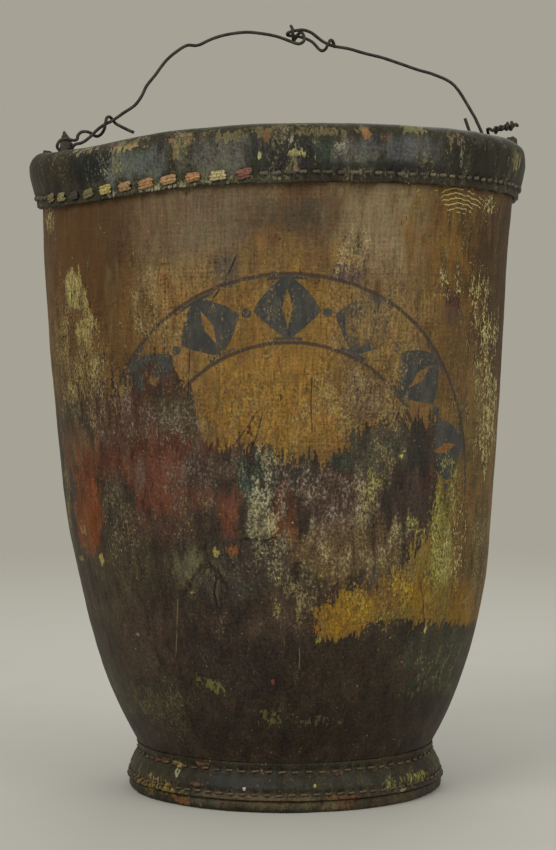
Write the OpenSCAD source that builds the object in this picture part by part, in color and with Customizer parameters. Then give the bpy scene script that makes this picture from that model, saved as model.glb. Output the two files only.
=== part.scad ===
// Leather fire bucket with a wire bail, in millimetres.
// The bucket stands on z = 0, its axis is the z axis, and its front faces -y.

/* [Wall] */
// Outer radius of the leather wall at its top edge
mouth_r = 111.4; // [100:0.2:130]
// Height of the wall's top edge, under the rope of the rim
wall_top = 288; // [240:1:330]
// Thickness of the wall's leather
wall_t = 4; // [3:0.1:5]
// How much the wall narrows evenly from its top to the waist
wall_taper = 16.2; // [8:0.2:22]
// How much more it draws in towards the waist, in a round belly
belly_draw = 27.2; // [15:0.2:34]
// How late the belly turns in: a higher number keeps the wall straight for longer
belly_power = 5.4; // [3:0.1:8]

/* [Foot] */
// Height of the waist, the narrowest ring above the foot
waist_z = 18.5; // [16:0.5:26]
// How far the wall flares out again below the waist
foot_flare = 3.2; // [1.5:0.1:6]
// Height of the top edge of the foot's band
band_top = 21.5; // [21:0.5:32]
// Thickness of the band where it is full
band_t = 3.7; // [2.6:0.1:5]
// Thickness of the band's thinned top edge
band_edge_t = 1.3; // [1:0.1:2.4]
// Height at which the band reaches its full thickness
band_full_z = 10.5; // [8:0.5:13]
// Height of the welt, the lip that the foot stands on
welt_h = 5.5; // [4:0.1:7]
// How far the welt's edge stays behind the band's face
welt_step = 1.2; // [0.4:0.1:2]

/* [Bottom] */
// Height of the bottom's upper face
bottom_z = 13; // [11:0.5:15]
// Thickness of the bottom's leather
bottom_t = 4.5; // [3:0.1:5]
// Radius of the bend where the bottom turns down into its flange
bottom_bend_r = 3; // [1.5:0.1:4]
// Height of the flange's lower edge above the floor
flange_lift = 1; // [0.6:0.1:3]

/* [Rim] */
// Diameter of the rope inside the rolled rim
rope_d = 9.5; // [7:0.1:12]
// Thickness of the binding's leather over the rope
binding_t = 2.1; // [1.5:0.1:3]
// How far the binding's legs reach below the wall's top edge
binding_leg = 13; // [11:0.5:20]
// Thickness of the binding's folded outer edge
binding_edge_t = 3.4; // [2.6:0.1:4.5]
// Height of the worn lip below the row of rim stitches
rim_lip_h = 2.6; // [2:0.1:4]
// How far the lip stays behind the face above the stitches
rim_lip_step = 1.2; // [0.6:0.1:1.8]

/* [Stitches] */
// Diameter of the thread in the rim
rim_thread_d = 1.7; // [1.2:0.1:2]
// Spacing of the rim's stitches
rim_pitch = 5.5; // [4.5:0.1:12]
// Length of one rim stitch
rim_stitch = 3.6; // [2:0.1:4]
// Diameter of the thong in the mended stretch of the rim
mend_thread_d = 2.4; // [2:0.1:2.6]
// Length of one stitch of the mend
mend_stitch = 7; // [4:0.1:8]
// Number of stitches in the mend
mend_count = 11; // [4:1:14]
// Angle of the first stitch of the mend, from +x and seen from above
mend_from = 206.4; // [200:0.2:215]
// Angle between two stitches of the mend
mend_step = 5.64; // [5:0.02:6]
// Diameter of the thread in the foot and in the back seam
foot_thread_d = 1.3; // [0.9:0.1:1.5]
// Spacing of the stitches of the upper foot row
foot_upper_pitch = 6; // [4.5:0.1:12]
// Spacing of the stitches of the lower foot row
foot_lower_pitch = 5.5; // [4.5:0.1:12]
// Length of one foot stitch
foot_stitch = 3.4; // [2:0.1:4]
// Height of the upper foot row
foot_upper_z = 17.6; // [15:0.1:19]
// Height of the lower foot row
foot_lower_z = 8; // [7.6:0.1:10]

/* [Back seam] */
// Angle that the cover strip takes round the back
strip_angle = 12; // [8:0.5:20]
// Thickness of the strip's leather
strip_t = 2; // [1.4:0.1:3]
// Spacing of its stitches
strip_pitch = 8; // [6:0.5:16]
// Length of one of its stitches
strip_stitch = 5; // [3:0.1:5.5]
// Distance of each row of stitches from the strip's edge
strip_inset = 2.6; // [2:0.1:4]

/* [Ears] */
// Thickness of an ear's leather
ear_t = 3.2; // [2.4:0.1:4]
// Height of the ear's bore above the rim
ear_rise = 0.5; // [0.2:0.1:2]
// Radius of the ear's bore
ear_bore_r = 1.4; // [1.2:0.05:1.5]
// Radius of the ear's round top about its bore
ear_top_r = 3.6; // [3:0.1:3.8]
// Width of the ear below its shoulders
ear_w = 11; // [9:0.5:20]
// How far the shoulders lie below the bore
ear_shoulder = 4.5; // [3.8:0.1:8]
// How far the ear reaches down below the binding
ear_tail = 20; // [14:0.5:40]

/* [Torn strap ends] */
// Thickness of the torn pieces' leather
torn_t = 2; // [1.2:0.1:3]
// Height of the torn point above the rim
torn_point_h = 10.5; // [5:0.5:16]
// Width of the torn point across the rim
torn_point_w = 5.6; // [4:0.1:7]
// Thickness of the torn point, along the rim
torn_point_t = 3; // [2:0.1:4]
// Width of the stubs that lie on the rim
stub_w = 9; // [5:0.5:12]

/* [Bail] */
// Diameter of the iron wires
wire_d = 1.5; // [1.1:0.05:1.6]
// Height of the bail's hook above the ears' bores
bail_rise = 54.5; // [40:0.5:80]

/* [Fits] */
// Gap between pieces that lie on each other
fit = 0.2; // [0.1:0.05:0.3]
// Gap between a thread and the groove that it lies in
thread_gap = 0.15; // [0.1:0.05:0.3]

/* [Hidden] */

// Lower edge of the wall, on the welt
wall_foot_z = welt_h + fit;
waist_r = mouth_r - wall_taper - belly_draw;
flare_power = 1.6;

// Rolled rim: the rope lies on the wall's top edge, midway through its thickness
rope_z = wall_top + fit + rope_d / 2;
rim_r = mouth_r - wall_t / 2;
roll_r = rope_d / 2 + fit + binding_t;
rim_top = rope_z + roll_r;
rim_out_r = rim_r + roll_r;
leg_z = wall_top - binding_leg;
rim_groove_r = mend_thread_d / 2 + thread_gap;
rim_stitch_z = leg_z + rim_lip_h + rim_groove_r;

foot_groove_r = foot_thread_d / 2 + thread_gap;

// Ears: they lie inside the roll, with their bores on one line over the rim
ear_face_r = rim_r - roll_r - fit;
ear_x = ear_face_r - ear_t / 2;
ear_z = rim_top + ear_rise;
ear_foot_z = leg_z - ear_tail;

strip_low = band_top + fit;
strip_high = leg_z - fit;

wire_r = wire_d / 2;
// Gap between two turns of a wire that is wound on another
wind_gap = 0.45;
wrap_r = wire_d + wind_gap;
wire_sides = 8;
smooth_fn = 96;
thread_fn = 20;

function spread(a, b, n) = [for (i = [0:n]) a + (b - a) * i / n];
function backwards(list) = [for (i = [len(list) - 1:-1:0]) list[i]];
function eased(x) = x * x * (3 - 2 * x);
function arc(centre, r, from, to, n) =
    [for (a = spread(from, to, n)) centre + r * [cos(a), sin(a)]];
function degrees_for(length, r) = length / r * 180 / PI;

// Outer radius of the wall at a height
function wall_r(z) = z >= waist_z
    ? let (u = max(0, wall_top - z) / (wall_top - waist_z))
      mouth_r - wall_taper * u - belly_draw * pow(u, belly_power)
    : waist_r + foot_flare * pow((waist_z - z) / (waist_z - wall_foot_z), flare_power);
function wall_slope(z) = atan((wall_r(z + 0.5) - wall_r(z - 0.5)));
function wall_line(levels, out) = [for (z = levels) [wall_r(z) + out, z]];

// Thickness and outer face of the foot's band at a height
function band_thickness(z) = band_edge_t + (band_t - band_edge_t)
    * eased(min(1, (band_top - z) / (band_top - band_full_z)));
function band_face(z) = wall_r(z) + fit + band_thickness(z);

// Stitches that lie round the bucket: short pieces of one ring each
module ring_stitches(r, z, thread_d, length, angles) {
    turn = degrees_for(length, r);
    for (a = angles)
        rotate([0, 0, a - turn / 2])
            rotate_extrude(angle = turn, $fn = smooth_fn)
                translate([r, z]) circle(d = thread_d, $fn = thread_fn);
}

// Evenly spaced angles for a row of a given pitch, from one angle over a stretch
function row_angles(r, pitch, from = 0, stretch = 360) =
    let (count = floor(stretch / degrees_for(pitch, r)), step = stretch / count)
    [for (i = [0:count - 1]) from + (i + 0.5) * step];

module body_wall() {
    levels = concat(spread(wall_foot_z, waist_z, 5),
                    [for (i = [1:24]) waist_z + (wall_top - waist_z) * i / 24]);
    color("#5a4326")
        rotate_extrude($fn = smooth_fn)
            polygon(concat(wall_line(levels, 0), backwards(wall_line(levels, -wall_t))));
}

module seam_strip() {
    levels = spread(strip_low, strip_high, 20);
    color("#4a3722")
        rotate([0, 0, 90 - strip_angle / 2])
            rotate_extrude(angle = strip_angle, $fn = smooth_fn)
                polygon(concat(wall_line(levels, fit),
                               backwards(wall_line(levels, fit + strip_t))));
}

module seam_stitches() {
    first = strip_low + strip_stitch;
    count = floor((strip_high - strip_stitch - first) / strip_pitch) + 1;
    lift = foot_thread_d / 2 + thread_gap;
    color("#8a6a35")
        for (i = [0:count - 1], side = [-1, 1]) {
            z = first + i * strip_pitch;
            r = wall_r(z) + fit + strip_t;
            slope = wall_slope(z);
            rotate([0, 0, 90 + side * (strip_angle / 2 - degrees_for(strip_inset, r))])
                translate([r + lift * cos(slope), 0, z - lift * sin(slope)])
                    rotate([0, slope, 0])
                        cylinder(h = strip_stitch, d = foot_thread_d, center = true, $fn = thread_fn);
        }
}

module bottom_disc() {
    bend_z = bottom_z - bottom_bend_r;
    bend_x = wall_r(bend_z) - wall_t - fit - bottom_bend_r;
    levels = spread(wall_foot_z, bend_z, 4);
    inner_levels = spread(wall_foot_z, bottom_z - bottom_t, 3);
    flange_r = wall_r(wall_foot_z) - wall_t - fit;
    color("#2d241a")
        rotate_extrude($fn = smooth_fn)
            polygon(concat(
                [[0, bottom_z - bottom_t]],
                backwards(wall_line(inner_levels, -wall_t - fit - bottom_t)),
                [[flange_r - bottom_t, flange_lift], [flange_r, flange_lift]],
                wall_line(levels, -wall_t - fit),
                arc([bend_x, bend_z], bottom_bend_r, 15, 90, 4),
                [[0, bottom_z]]));
}

module foot_band() {
    levels = spread(wall_foot_z, band_top, 10);
    color("#33312a")
        rotate_extrude($fn = smooth_fn)
            difference() {
                polygon(concat(wall_line(levels, fit),
                               [for (z = backwards(levels)) [band_face(z), z]]));
                for (z = [foot_upper_z, foot_lower_z])
                    translate([band_face(z), z]) circle(r = foot_groove_r, $fn = thread_fn);
            }
}

module foot_welt() {
    inner_r = wall_r(wall_foot_z) - wall_t;
    outer_r = band_face(wall_foot_z) - welt_step;
    round_r = welt_h / 4;
    color("#3a2c1d")
        rotate_extrude($fn = smooth_fn)
            polygon(concat(
                [[inner_r, 0]],
                arc([outer_r - round_r, round_r], round_r, -90, 0, 4),
                arc([outer_r - round_r, welt_h - round_r], round_r, 0, 90, 4),
                [[inner_r, welt_h]]));
}

module foot_upper_stitches() {
    r = band_face(foot_upper_z);
    color("#6b5a33")
        ring_stitches(r, foot_upper_z, foot_thread_d, foot_stitch, row_angles(r, foot_upper_pitch));
}

module foot_lower_stitches() {
    r = band_face(foot_lower_z);
    color("#6b5a33")
        ring_stitches(r, foot_lower_z, foot_thread_d, foot_stitch, row_angles(r, foot_lower_pitch));
}

module rim_rope() {
    color("#8b7a55")
        rotate_extrude($fn = smooth_fn)
            translate([rim_r, rope_z]) circle(d = rope_d, $fn = 48);
}

// Outer face of the binding at the row of stitches
function rim_face_r() = wall_r(leg_z) + fit + binding_edge_t;

module rim_binding() {
    face_r = rim_face_r();
    lip_r = face_r - rim_lip_step;
    lip_z = leg_z + rim_lip_h;
    face_z = rim_stitch_z + rim_groove_r;
    inner_r = wall_r(leg_z) - wall_t - fit - binding_t;
    swell = [for (t = spread(0, 1, 6))
        [face_r + (rim_out_r - face_r) * sin(90 * t), face_z + (rope_z - face_z) * t]];
    slot_levels = spread(leg_z - 1, wall_top, 3);
    color("#26282a")
        rotate_extrude($fn = smooth_fn)
            difference() {
                union() {
                    translate([rim_r, rope_z]) circle(r = roll_r, $fn = 64);
                    polygon(concat(
                        [[rim_r - roll_r, rope_z], [inner_r, leg_z], [lip_r, leg_z], [lip_r, lip_z]],
                        swell));
                }
                translate([rim_r, rope_z]) circle(r = rope_d / 2 + fit, $fn = 48);
                polygon(concat(wall_line(slot_levels, fit), [[rim_r, wall_top + 2 * fit]],
                               backwards(wall_line(slot_levels, -wall_t - fit))));
                translate([face_r, rim_stitch_z]) circle(r = rim_groove_r, $fn = thread_fn);
            }
}

module rim_stitches() {
    r = rim_face_r();
    mended = mend_count * mend_step;
    color("#7a6a3c")
        ring_stitches(r, rim_stitch_z, rim_thread_d, rim_stitch,
                      row_angles(r, rim_pitch, mend_from - mend_step / 2 + mended, 360 - mended));
}

module rim_mend_stitches() {
    color("#a8662a")
        ring_stitches(rim_face_r(), rim_stitch_z, mend_thread_d, mend_stitch,
                      [for (i = [0:mend_count - 1]) mend_from + i * mend_step]);
}

// Side view of an ear: its outer face, from its top to its foot
ear_side = [
    [ear_face_r, ear_z + ear_top_r + 1],
    [ear_face_r, rope_z],
    [wall_r(leg_z) - wall_t - 2 * fit - binding_t, leg_z],
    [wall_r(leg_z - 6) - wall_t - fit, leg_z - 6],
    [wall_r(ear_foot_z) - wall_t - fit, ear_foot_z]
];

// An ear on the +x side: a bent strap with a shouldered top and a bore for the wire
module ear() {
    half_w = ear_w / 2;
    shoulder_z = ear_z - ear_shoulder;
    difference() {
        intersection() {
            rotate([90, 0, 0])
                linear_extrude(height = ear_w, center = true)
                    polygon(concat(ear_side, backwards([for (p = ear_side) p - [ear_t, 0]])));
            rotate([90, 0, 90])
                linear_extrude(height = rim_out_r) {
                    translate([0, ear_z]) circle(r = ear_top_r, $fn = 48);
                    translate([0, ear_foot_z + half_w]) circle(r = half_w, $fn = 48);
                    polygon([[-ear_top_r, ear_z], [-ear_top_r, shoulder_z],
                             [-half_w, shoulder_z - 3], [-half_w, ear_foot_z + half_w],
                             [half_w, ear_foot_z + half_w], [half_w, shoulder_z - 3],
                             [ear_top_r, shoulder_z], [ear_top_r, ear_z]]);
                }
        }
        translate([ear_x, 0, ear_z])
            rotate([0, 90, 0])
                cylinder(r = ear_bore_r, h = 3 * ear_t, center = true, $fn = 48);
    }
}

// Stitches on the inner face of an ear's foot, in two columns
module ear_stitches() {
    low = ear_side[4];
    high = ear_side[3];
    slope = atan((high[0] - low[0]) / (high[1] - low[1]));
    lift = foot_thread_d / 2 + thread_gap;
    length = 3;
    for (row = [0:2], side = [-1, 1]) {
        t = (row + 1) / 4;
        face = low + (high - low) * t - [ear_t, 0];
        translate([face[0] - lift, side * ear_w * 0.28, face[1]])
            rotate([0, slope, 0])
                cylinder(h = length, d = foot_thread_d, center = true, $fn = thread_fn);
    }
}

module ear_left() {
    color("#4a3523") mirror([1, 0, 0]) ear();
}

module ear_right() {
    color("#4a3523") ear();
}

module ear_left_stitches() {
    color("#8a6a35") mirror([1, 0, 0]) ear_stitches();
}

module ear_right_stitches() {
    color("#8a6a35") ear_stitches();
}

// A piece of leather with its outline in the x-z plane, w thick along y
module leather_cut(outline, w) {
    rotate([90, 0, 0]) linear_extrude(height = w, center = true) polygon(outline);
}

module torn_point_left() {
    // Beside the ear, clear of the bail's loop
    near_y = ear_w / 2 + 1.2;
    face_x = sqrt(pow(ear_face_r, 2) - pow(near_y + torn_point_t, 2));
    h = torn_point_h;
    w = torn_point_w;
    outline = [
        [face_x - torn_t, leg_z + 8], [face_x - torn_t, rim_top],
        [face_x - 0.64 * w, rim_top + 0.45 * h], [face_x - 0.4 * w, rim_top + 0.72 * h],
        [face_x, rim_top + h], [face_x + 0.22 * w, rim_top + 0.72 * h],
        [face_x + 0.3 * w, rim_top + 0.35 * h], [face_x + 0.62 * w, rim_top + 0.5],
        [face_x, rim_top - 2], [face_x, leg_z + 8]
    ];
    color("#2b211a")
        mirror([1, 0, 0])
            translate([0, near_y + torn_point_t / 2, 0]) leather_cut(outline, torn_point_t);
}

module strap_stub_left() {
    outline = [
        [rim_r - 2.8, rim_top - 0.2], [rim_r - 2.5, rim_top + 0.8 * torn_t],
        [rim_r + 0.8, rim_top + 1.1 * torn_t], [rim_r + 1.5, rim_top + 0.4],
        [rim_r, rim_top + fit]
    ];
    color("#4a3b28") mirror([1, 0, 0]) leather_cut(outline, stub_w);
}

module strap_stub_right() {
    // Two layers of the strap, curled up at their outer end
    outline = [
        [rim_r - 3.4, rim_top + 0.9], [rim_r, rim_top + fit], [rim_r + 3.7, rim_top + 0.7],
        [rim_r + 3.4, rim_top + 1.9 * torn_t], [rim_r + 1.6, rim_top + 2.5 * torn_t],
        [rim_r - 1.2, rim_top + 2.1 * torn_t], [rim_r - 3.4, rim_top + 2 * torn_t]
    ];
    color("#3a2a1e") leather_cut(outline, stub_w);
}

// Smooth curve through points, with a number of steps from each to the next
function between(a, b, c, d, t) = 0.5 * (2 * b + (c - a) * t
    + (2 * a - 5 * b + 4 * c - d) * t * t + (3 * b - a - 3 * c + d) * t * t * t);
function smooth_path(p, steps) = let (last = len(p) - 1) concat(
    [for (i = [0:last - 1], k = [0:steps - 1])
        between(p[max(i - 1, 0)], p[i], p[i + 1], p[min(i + 2, last)], k / steps)],
    [p[last]]);

function unit(v) = v / norm(v);
function heading(p, i) = unit(p[min(i + 1, len(p) - 1)] - p[max(i - 1, 0)]);

// A direction square to the path at each point, carried along without twist
function carried(p, i, before, found) = i == len(p) ? found
    : let (t = heading(p, i), side = unit(before - t * (before * t)))
      carried(p, i + 1, side, concat(found, [side]));

// Round wire swept along a path
module wire(path, r) {
    sides = wire_sides;
    rings = len(path);
    first_side = unit(cross(heading(path, 0), [0.2, 1, 0.3]));
    across = carried(path, 0, first_side, []);
    points = [for (i = [0:rings - 1]) let (t = heading(path, i), u = across[i], v = cross(t, u))
        for (k = [0:sides - 1]) path[i] + r * (cos(360 * k / sides) * u + sin(360 * k / sides) * v)];
    far = (rings - 1) * sides;
    faces = concat(
        [for (i = [0:rings - 2], k = [0:sides - 1])
            [i * sides + k, (i + 1) * sides + (k + 1) % sides, i * sides + (k + 1) % sides]],
        [for (i = [0:rings - 2], k = [0:sides - 1])
            [i * sides + k, (i + 1) * sides + k, (i + 1) * sides + (k + 1) % sides]],
        [for (k = [1:sides - 2]) [0, k, k + 1]],
        [for (k = [1:sides - 2]) [far, far + k + 1, far + k]]);
    polyhedron(points = points, faces = faces);
}

// Least gap of a wire to itself, on points that lie further apart along it than a bend
function least_gap(path, skip) = min([for (i = [0:len(path) - 1 - skip])
    min([for (j = [i + skip:len(path) - 1]) norm(path[i] - path[j])])]) - wire_d;
function gap_between(a, b) = min([for (p = a) min([for (q = b) norm(p - q)])]) - wire_d;

// Places: the two bores, and the middle of the hook where the wires meet
left_bore = [-ear_x, 0, ear_z];
right_bore = [ear_x, 0, ear_z];
hook = [10, 0, ear_z + bail_rise];

// Left wire's end, from the bore: [inwards, back, up]. Its cut end hangs off a wrap round the
// wire itself, it doubles back in an open corner, and goes over the ear and through its bore.
left_end = [
    [32.6, 0, 9.1], [28.8, 0.2, 10.9], [25.4, 0.8, 12.7], [23.6, 1.8, 13.9],
    [22.4, 2, 15.5], [21, 0.6, 16.7], [19.9, -1.2, 15.9], [19.3, -2.1, 13.4],
    [18.8, -1.6, 10.8], [17.4, 0, 8.6], [15.3, 1.7, 7.3], [13.5, 2.1, 7.7],
    [12, 1.5, 8.6], [10, 1.1, 9.1], [7.6, 1.2, 8.7], [6, 1.3, 7.1],
    [5.6, 1.3, 5.3], [4.2, 1.1, 4.6], [2.2, 0.6, 4.9], [0, 0, 5.1],
    [-2.4, -0.2, 4.3], [-3.7, -0.1, 2.2], [-3.4, 0, 0.6], [-2.1, 0, 0],
    [0, 0, 0], [2.1, 0, 0], [3.3, -0.3, 0.6], [4.2, -0.9, 1.9],
    [5.6, -1.1, 2.8], [7.4, -1, 3.2], [9.6, -0.7, 4.5], [12.4, -0.2, 7.1],
    [15.5, 0, 10.4], [18.6, 0, 12.8], [22, 0, 14.6], [25.5, 0, 16.9]
];
left_run_from = [27.8, 0, 18.5];
left_run_to = [-16, 0, 0.2];
// Bends of the left wire's long run: [share of the way, height over the straight line]
left_run = [
    [0.076, 0.6], [0.125, 3], [0.163, 6.7], [0.224, 9.5], [0.3, 13.4], [0.374, 14.9],
    [0.45, 15.1], [0.526, 12.3], [0.626, 11.6], [0.737, 9.6], [0.875, 5.5]
];
// Left wire's hook, from the hook's middle: down, up through the eye, and once round its nose
left_hook = [
    [-9.8, -0.2, -1.2], [-4.5, -0.9, -3.3], [-1.3, -2, -4.7], [0.6, -2.6, -5],
    [2.2, -2.8, -4.1], [2.8, -2.5, -2.6], [2.4, -1.4, -1], [2, 0, 0],
    [1.4, 1.8, 1], [0, 3.1, 0.6], [-1.6, 3.5, -1.8], [-2.4, 1.8, -3],
    [-2.6, -0.9, -2], [-2.7, -3.1, -0.6], [-2.9, -3.3, 1.5], [-3.3, -2.1, 2.9], [-3.6, -1, 3.6]
];

// Right wire's end, from the bore: [inwards, back, up]. It goes through the bore, back over
// the ear and up to a cut end.
right_end = [
    [6, 0, 12.8], [3.7, 0, 7.7], [3.1, 0, 4.6], [2.95, 0, 1.9],
    [2.2, 0, 0.3], [0, 0, 0], [-2.1, 0, 0], [-3.4, 0.1, 0.6],
    [-3.7, 0.2, 2.2], [-2.4, 0.4, 4.2], [0, 0.6, 5.1], [2.2, 1.7, 5.2],
    [4, 2.4, 5.6], [6.4, 2.2, 5.9], [8.3, 1.4, 6.8], [9.5, 0.8, 8.4],
    [10.6, 0.4, 11.2], [11.8, 0.3, 14.4]
];
right_run_from = [18.2, 0, -6.3];
right_run_to = [8.4, 0, 17.2];
right_run = [
    [0.086, 1.7], [0.213, 3.2], [0.339, 5], [0.466, 6.1], [0.593, 7.1], [0.721, 8.5], [0.87, 8.2]
];
// Right wire's eye, from the hook's middle, from its cut end: a turn round the wire itself, a
// small open loop below it, then the eye's lower strand, its nose and its upper strand
right_eye = [
    [17.4, 2.2, -6.4], [16.7, 2, -4.5], [15.9, 0.4, -3.3], [15, -1.5, -3.4],
    [14.2, -2.3, -4.8], [13.4, -2.1, -6.3], [12.6, -1, -7.5], [11.2, -0.2, -8.1],
    [9.8, 0.2, -7.4], [8.4, 0.6, -5.8], [6.8, 0.9, -4], [4.6, 1.1, -2.6],
    [2.3, 1.2, -1.7], [-0.8, 1.4, -0.8], [-3.6, 1.4, -0.6], [-5.2, 0.7, -0.3],
    [-5, -0.5, 0.5], [-3.4, -1.1, 1], [-0.8, -1.1, 1.5], [2.3, -1, 1.7],
    [5.9, -1, 0.4], [8.2, -0.8, -1.3], [10.5, -0.6, -3.1], [13, -0.3, -4.6], [15.4, 0, -5.6]
];

// Points of a long run between two places
function run(a, b, bends) = [for (q = bends) a + (b - a) * q[0] + [0, 0, q[1]]];
function from_left(p) = left_bore + p;
function from_right(p) = right_bore + [-p[0], p[1], p[2]];

left_points = let (a = from_left(left_run_from), b = hook + left_run_to) concat(
    [for (p = left_end) from_left(p)], [a], run(a, b, left_run), [b],
    [for (p = left_hook) hook + p]);
right_points = let (a = hook + right_run_from, b = from_right(right_run_to)) concat(
    [for (p = right_eye) hook + p], [a], run(a, b, right_run), [b],
    [for (p = right_end) from_right(p)]);

left_path = smooth_path(left_points, 2);
right_path = smooth_path(right_points, 2);

// Tie wire on the right strap stub: a leg inside the rim, a straight core that reaches out over
// the stub, and turns wound back round that core. Places are from the bore: [outwards, back, up].
tie_leg = [
    [0.2, 8.6, -6], [0.2, 8.6, -2], [0.3, 8.5, 1.6], [0.2, 7.6, 5.2],
    [-0.4, 5.2, 7.7], [-0.8, 2.6, 8.6], [0.2, 0.7, 8.5], [1.5, -0.1, 7.6]
];
tie_core_from = [2.9, 0, 8.3];
tie_core_to = [11.4, 0, 10];
tie_bend = [[12.7, 0.1, 10.1], [13.1, 0.3, 9.2], [12.6, 0.4, 8.2]];
tie_turns = 3;
tie_steps = 10;
tie_wound = [0.9, 0.16];

// A turn of the tie: its place on the core, and round it from below
function tie_turn(t) =
    let (along = tie_core_to - tie_core_from, up = unit([-along[2], 0, along[0]]),
         share = tie_wound[0] + (tie_wound[1] - tie_wound[0]) * t,
         a = -90 + 360 * tie_turns * t)
    tie_core_from + along * share + wrap_r * (sin(a) * up + cos(a) * [0, 1, 0]);

tie_points = concat(tie_leg,
    [for (t = spread(0, 1, 3)) tie_core_from + (tie_core_to - tie_core_from) * t],
    tie_bend,
    [for (t = spread(0, 1, tie_turns * tie_steps)) tie_turn(t)]);
tie_path = smooth_path([for (p = tie_points) right_bore + p], 2);

module bail_wire_left() {
    echo(left_wire_gap = least_gap(left_path, 7), wires_gap = gap_between(left_path, right_path));
    color("#3a352c") wire(left_path, wire_r);
}

module bail_wire_right() {
    echo(right_wire_gap = least_gap(right_path, 7));
    color("#3a352c") wire(right_path, wire_r);
}

module tie_wire_right() {
    echo(tie_wire_gap = least_gap(tie_path, 9));
    color("#2a2620") wire(tie_path, wire_r);
}

body_wall();
seam_strip();
seam_stitches();
bottom_disc();
foot_band();
foot_welt();
foot_upper_stitches();
foot_lower_stitches();
rim_rope();
rim_binding();
rim_stitches();
rim_mend_stitches();
ear_left();
ear_right();
ear_left_stitches();
ear_right_stitches();
torn_point_left();
strap_stub_left();
strap_stub_right();
bail_wire_left();
bail_wire_right();
tie_wire_right();
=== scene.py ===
"""Leather fire bucket with a wire bail, dressed over its CAD frame.

Lengths are in millimetres where they are named, and turn into metres when a mesh is made. An angle
called phi is measured round the axis from the front, and grows towards +x.
"""
import logging
import math
import random
from collections.abc import Callable
from dataclasses import dataclass
from enum import Enum

import bmesh
import bpy
import numpy as np
from bpy.types import Material, Mesh, NodeSocket, NodeTree, Object
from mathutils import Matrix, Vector, noise


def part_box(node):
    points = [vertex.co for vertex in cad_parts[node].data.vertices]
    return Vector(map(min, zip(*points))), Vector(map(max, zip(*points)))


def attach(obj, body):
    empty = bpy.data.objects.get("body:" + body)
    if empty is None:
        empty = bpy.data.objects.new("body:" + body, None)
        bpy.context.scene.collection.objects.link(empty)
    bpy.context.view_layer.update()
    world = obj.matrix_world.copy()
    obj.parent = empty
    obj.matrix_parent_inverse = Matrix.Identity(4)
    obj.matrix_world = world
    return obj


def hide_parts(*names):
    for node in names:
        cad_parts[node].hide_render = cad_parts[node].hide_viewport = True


MM = 0.001
LOG = logging.getLogger("bucket")
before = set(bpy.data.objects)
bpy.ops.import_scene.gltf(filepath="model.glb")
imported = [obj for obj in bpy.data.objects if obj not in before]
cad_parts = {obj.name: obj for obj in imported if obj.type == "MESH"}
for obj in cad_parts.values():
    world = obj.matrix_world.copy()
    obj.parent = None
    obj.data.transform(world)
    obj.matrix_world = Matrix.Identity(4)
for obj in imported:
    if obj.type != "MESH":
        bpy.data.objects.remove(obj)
Points = np.ndarray
Move = Callable[[Points], Points]
Pair = tuple[float, float]
Triple = tuple[float, float, float]
Colour = tuple[float, float, float, float]

# Sizes of several parts: right bore, wire, gap between leathers, and the mend's start and step

BORE = (100.55, 0.0, 300.5)
WIRE_D = 1.5
FIT = 0.2
MEND_FROM = -63.6
MEND_STEP = 5.64


class Body(Enum):
    """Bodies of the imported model."""

    BUCKET = "bucket"
    BAIL = "bail"


# Helpers for numbers


def rise(value: Points, low: float, high: float) -> Points:
    """Smooth step of values from 0 at low to 1 at high."""
    t = np.clip((np.asarray(value, float) - low) / (high - low), 0.0, 1.0)
    return t * t * (3.0 - 2.0 * t)


def between(value: Points, edges: tuple[float, float, float, float]) -> Points:
    """Smooth step of values from 0 to 1 at the first two edges, and back at the last two."""
    return rise(value, *edges[:2]) * (1.0 - rise(value, *edges[2:]))


def bell(value: Points, width: float) -> Points:
    """Bell curve of values, 1 at zero."""
    return np.exp(-(np.asarray(value, float) / width) ** 2)


def turned(phi: Points) -> Points:
    """Angles brought to the range from -pi to pi."""
    return (np.asarray(phi, float) + math.pi) % (2.0 * math.pi) - math.pi


def swell(points: Points, size: float, octaves: int = 2, seed: float = 0.0) -> Points:
    """Soft noise at each point, about from -1 to 1.

    Args:
        points: Places in millimetres, one in each row.
        size: Size of the noise's bumps in millimetres.
        octaves: Number of finer layers.
        seed: Shift into another part of the noise.

    Returns:
        One number for each point.
    """
    shift = Vector((seed * 17.3, seed * 5.1, seed * 9.7))
    scaled = np.asarray(points, float) / size
    return np.array([noise.fractal(Vector(p) + shift, 0.6, 2.1, octaves) for p in scaled])


def over(low: Points, high: Points, share: Points) -> Points:
    """One value or colour laid over another by a share."""
    return low * (1.0 - share) + high * share


def polar(points: Points) -> tuple[Points, Points]:
    """Angles from the front, and distances from the axis."""
    return np.arctan2(points[:, 0], -points[:, 1]), np.hypot(points[:, 0], points[:, 1])


def push_out(points: Points, push: Points) -> None:
    """Move points away from the axis by a length each."""
    points[:, :2] *= (1.0 + push / polar(points)[1])[:, None]


def paint(code: str) -> Colour:
    """Linear colour from a six-digit sRGB code."""
    parts = [int(code[i:i + 2], 16) / 255.0 for i in (0, 2, 4)]
    linear = [c / 12.92 if c <= 0.04045 else ((c + 0.055) / 1.055) ** 2.4 for c in parts]
    return (*linear, 1.0)


# Rules of the bucket's shape


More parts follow.
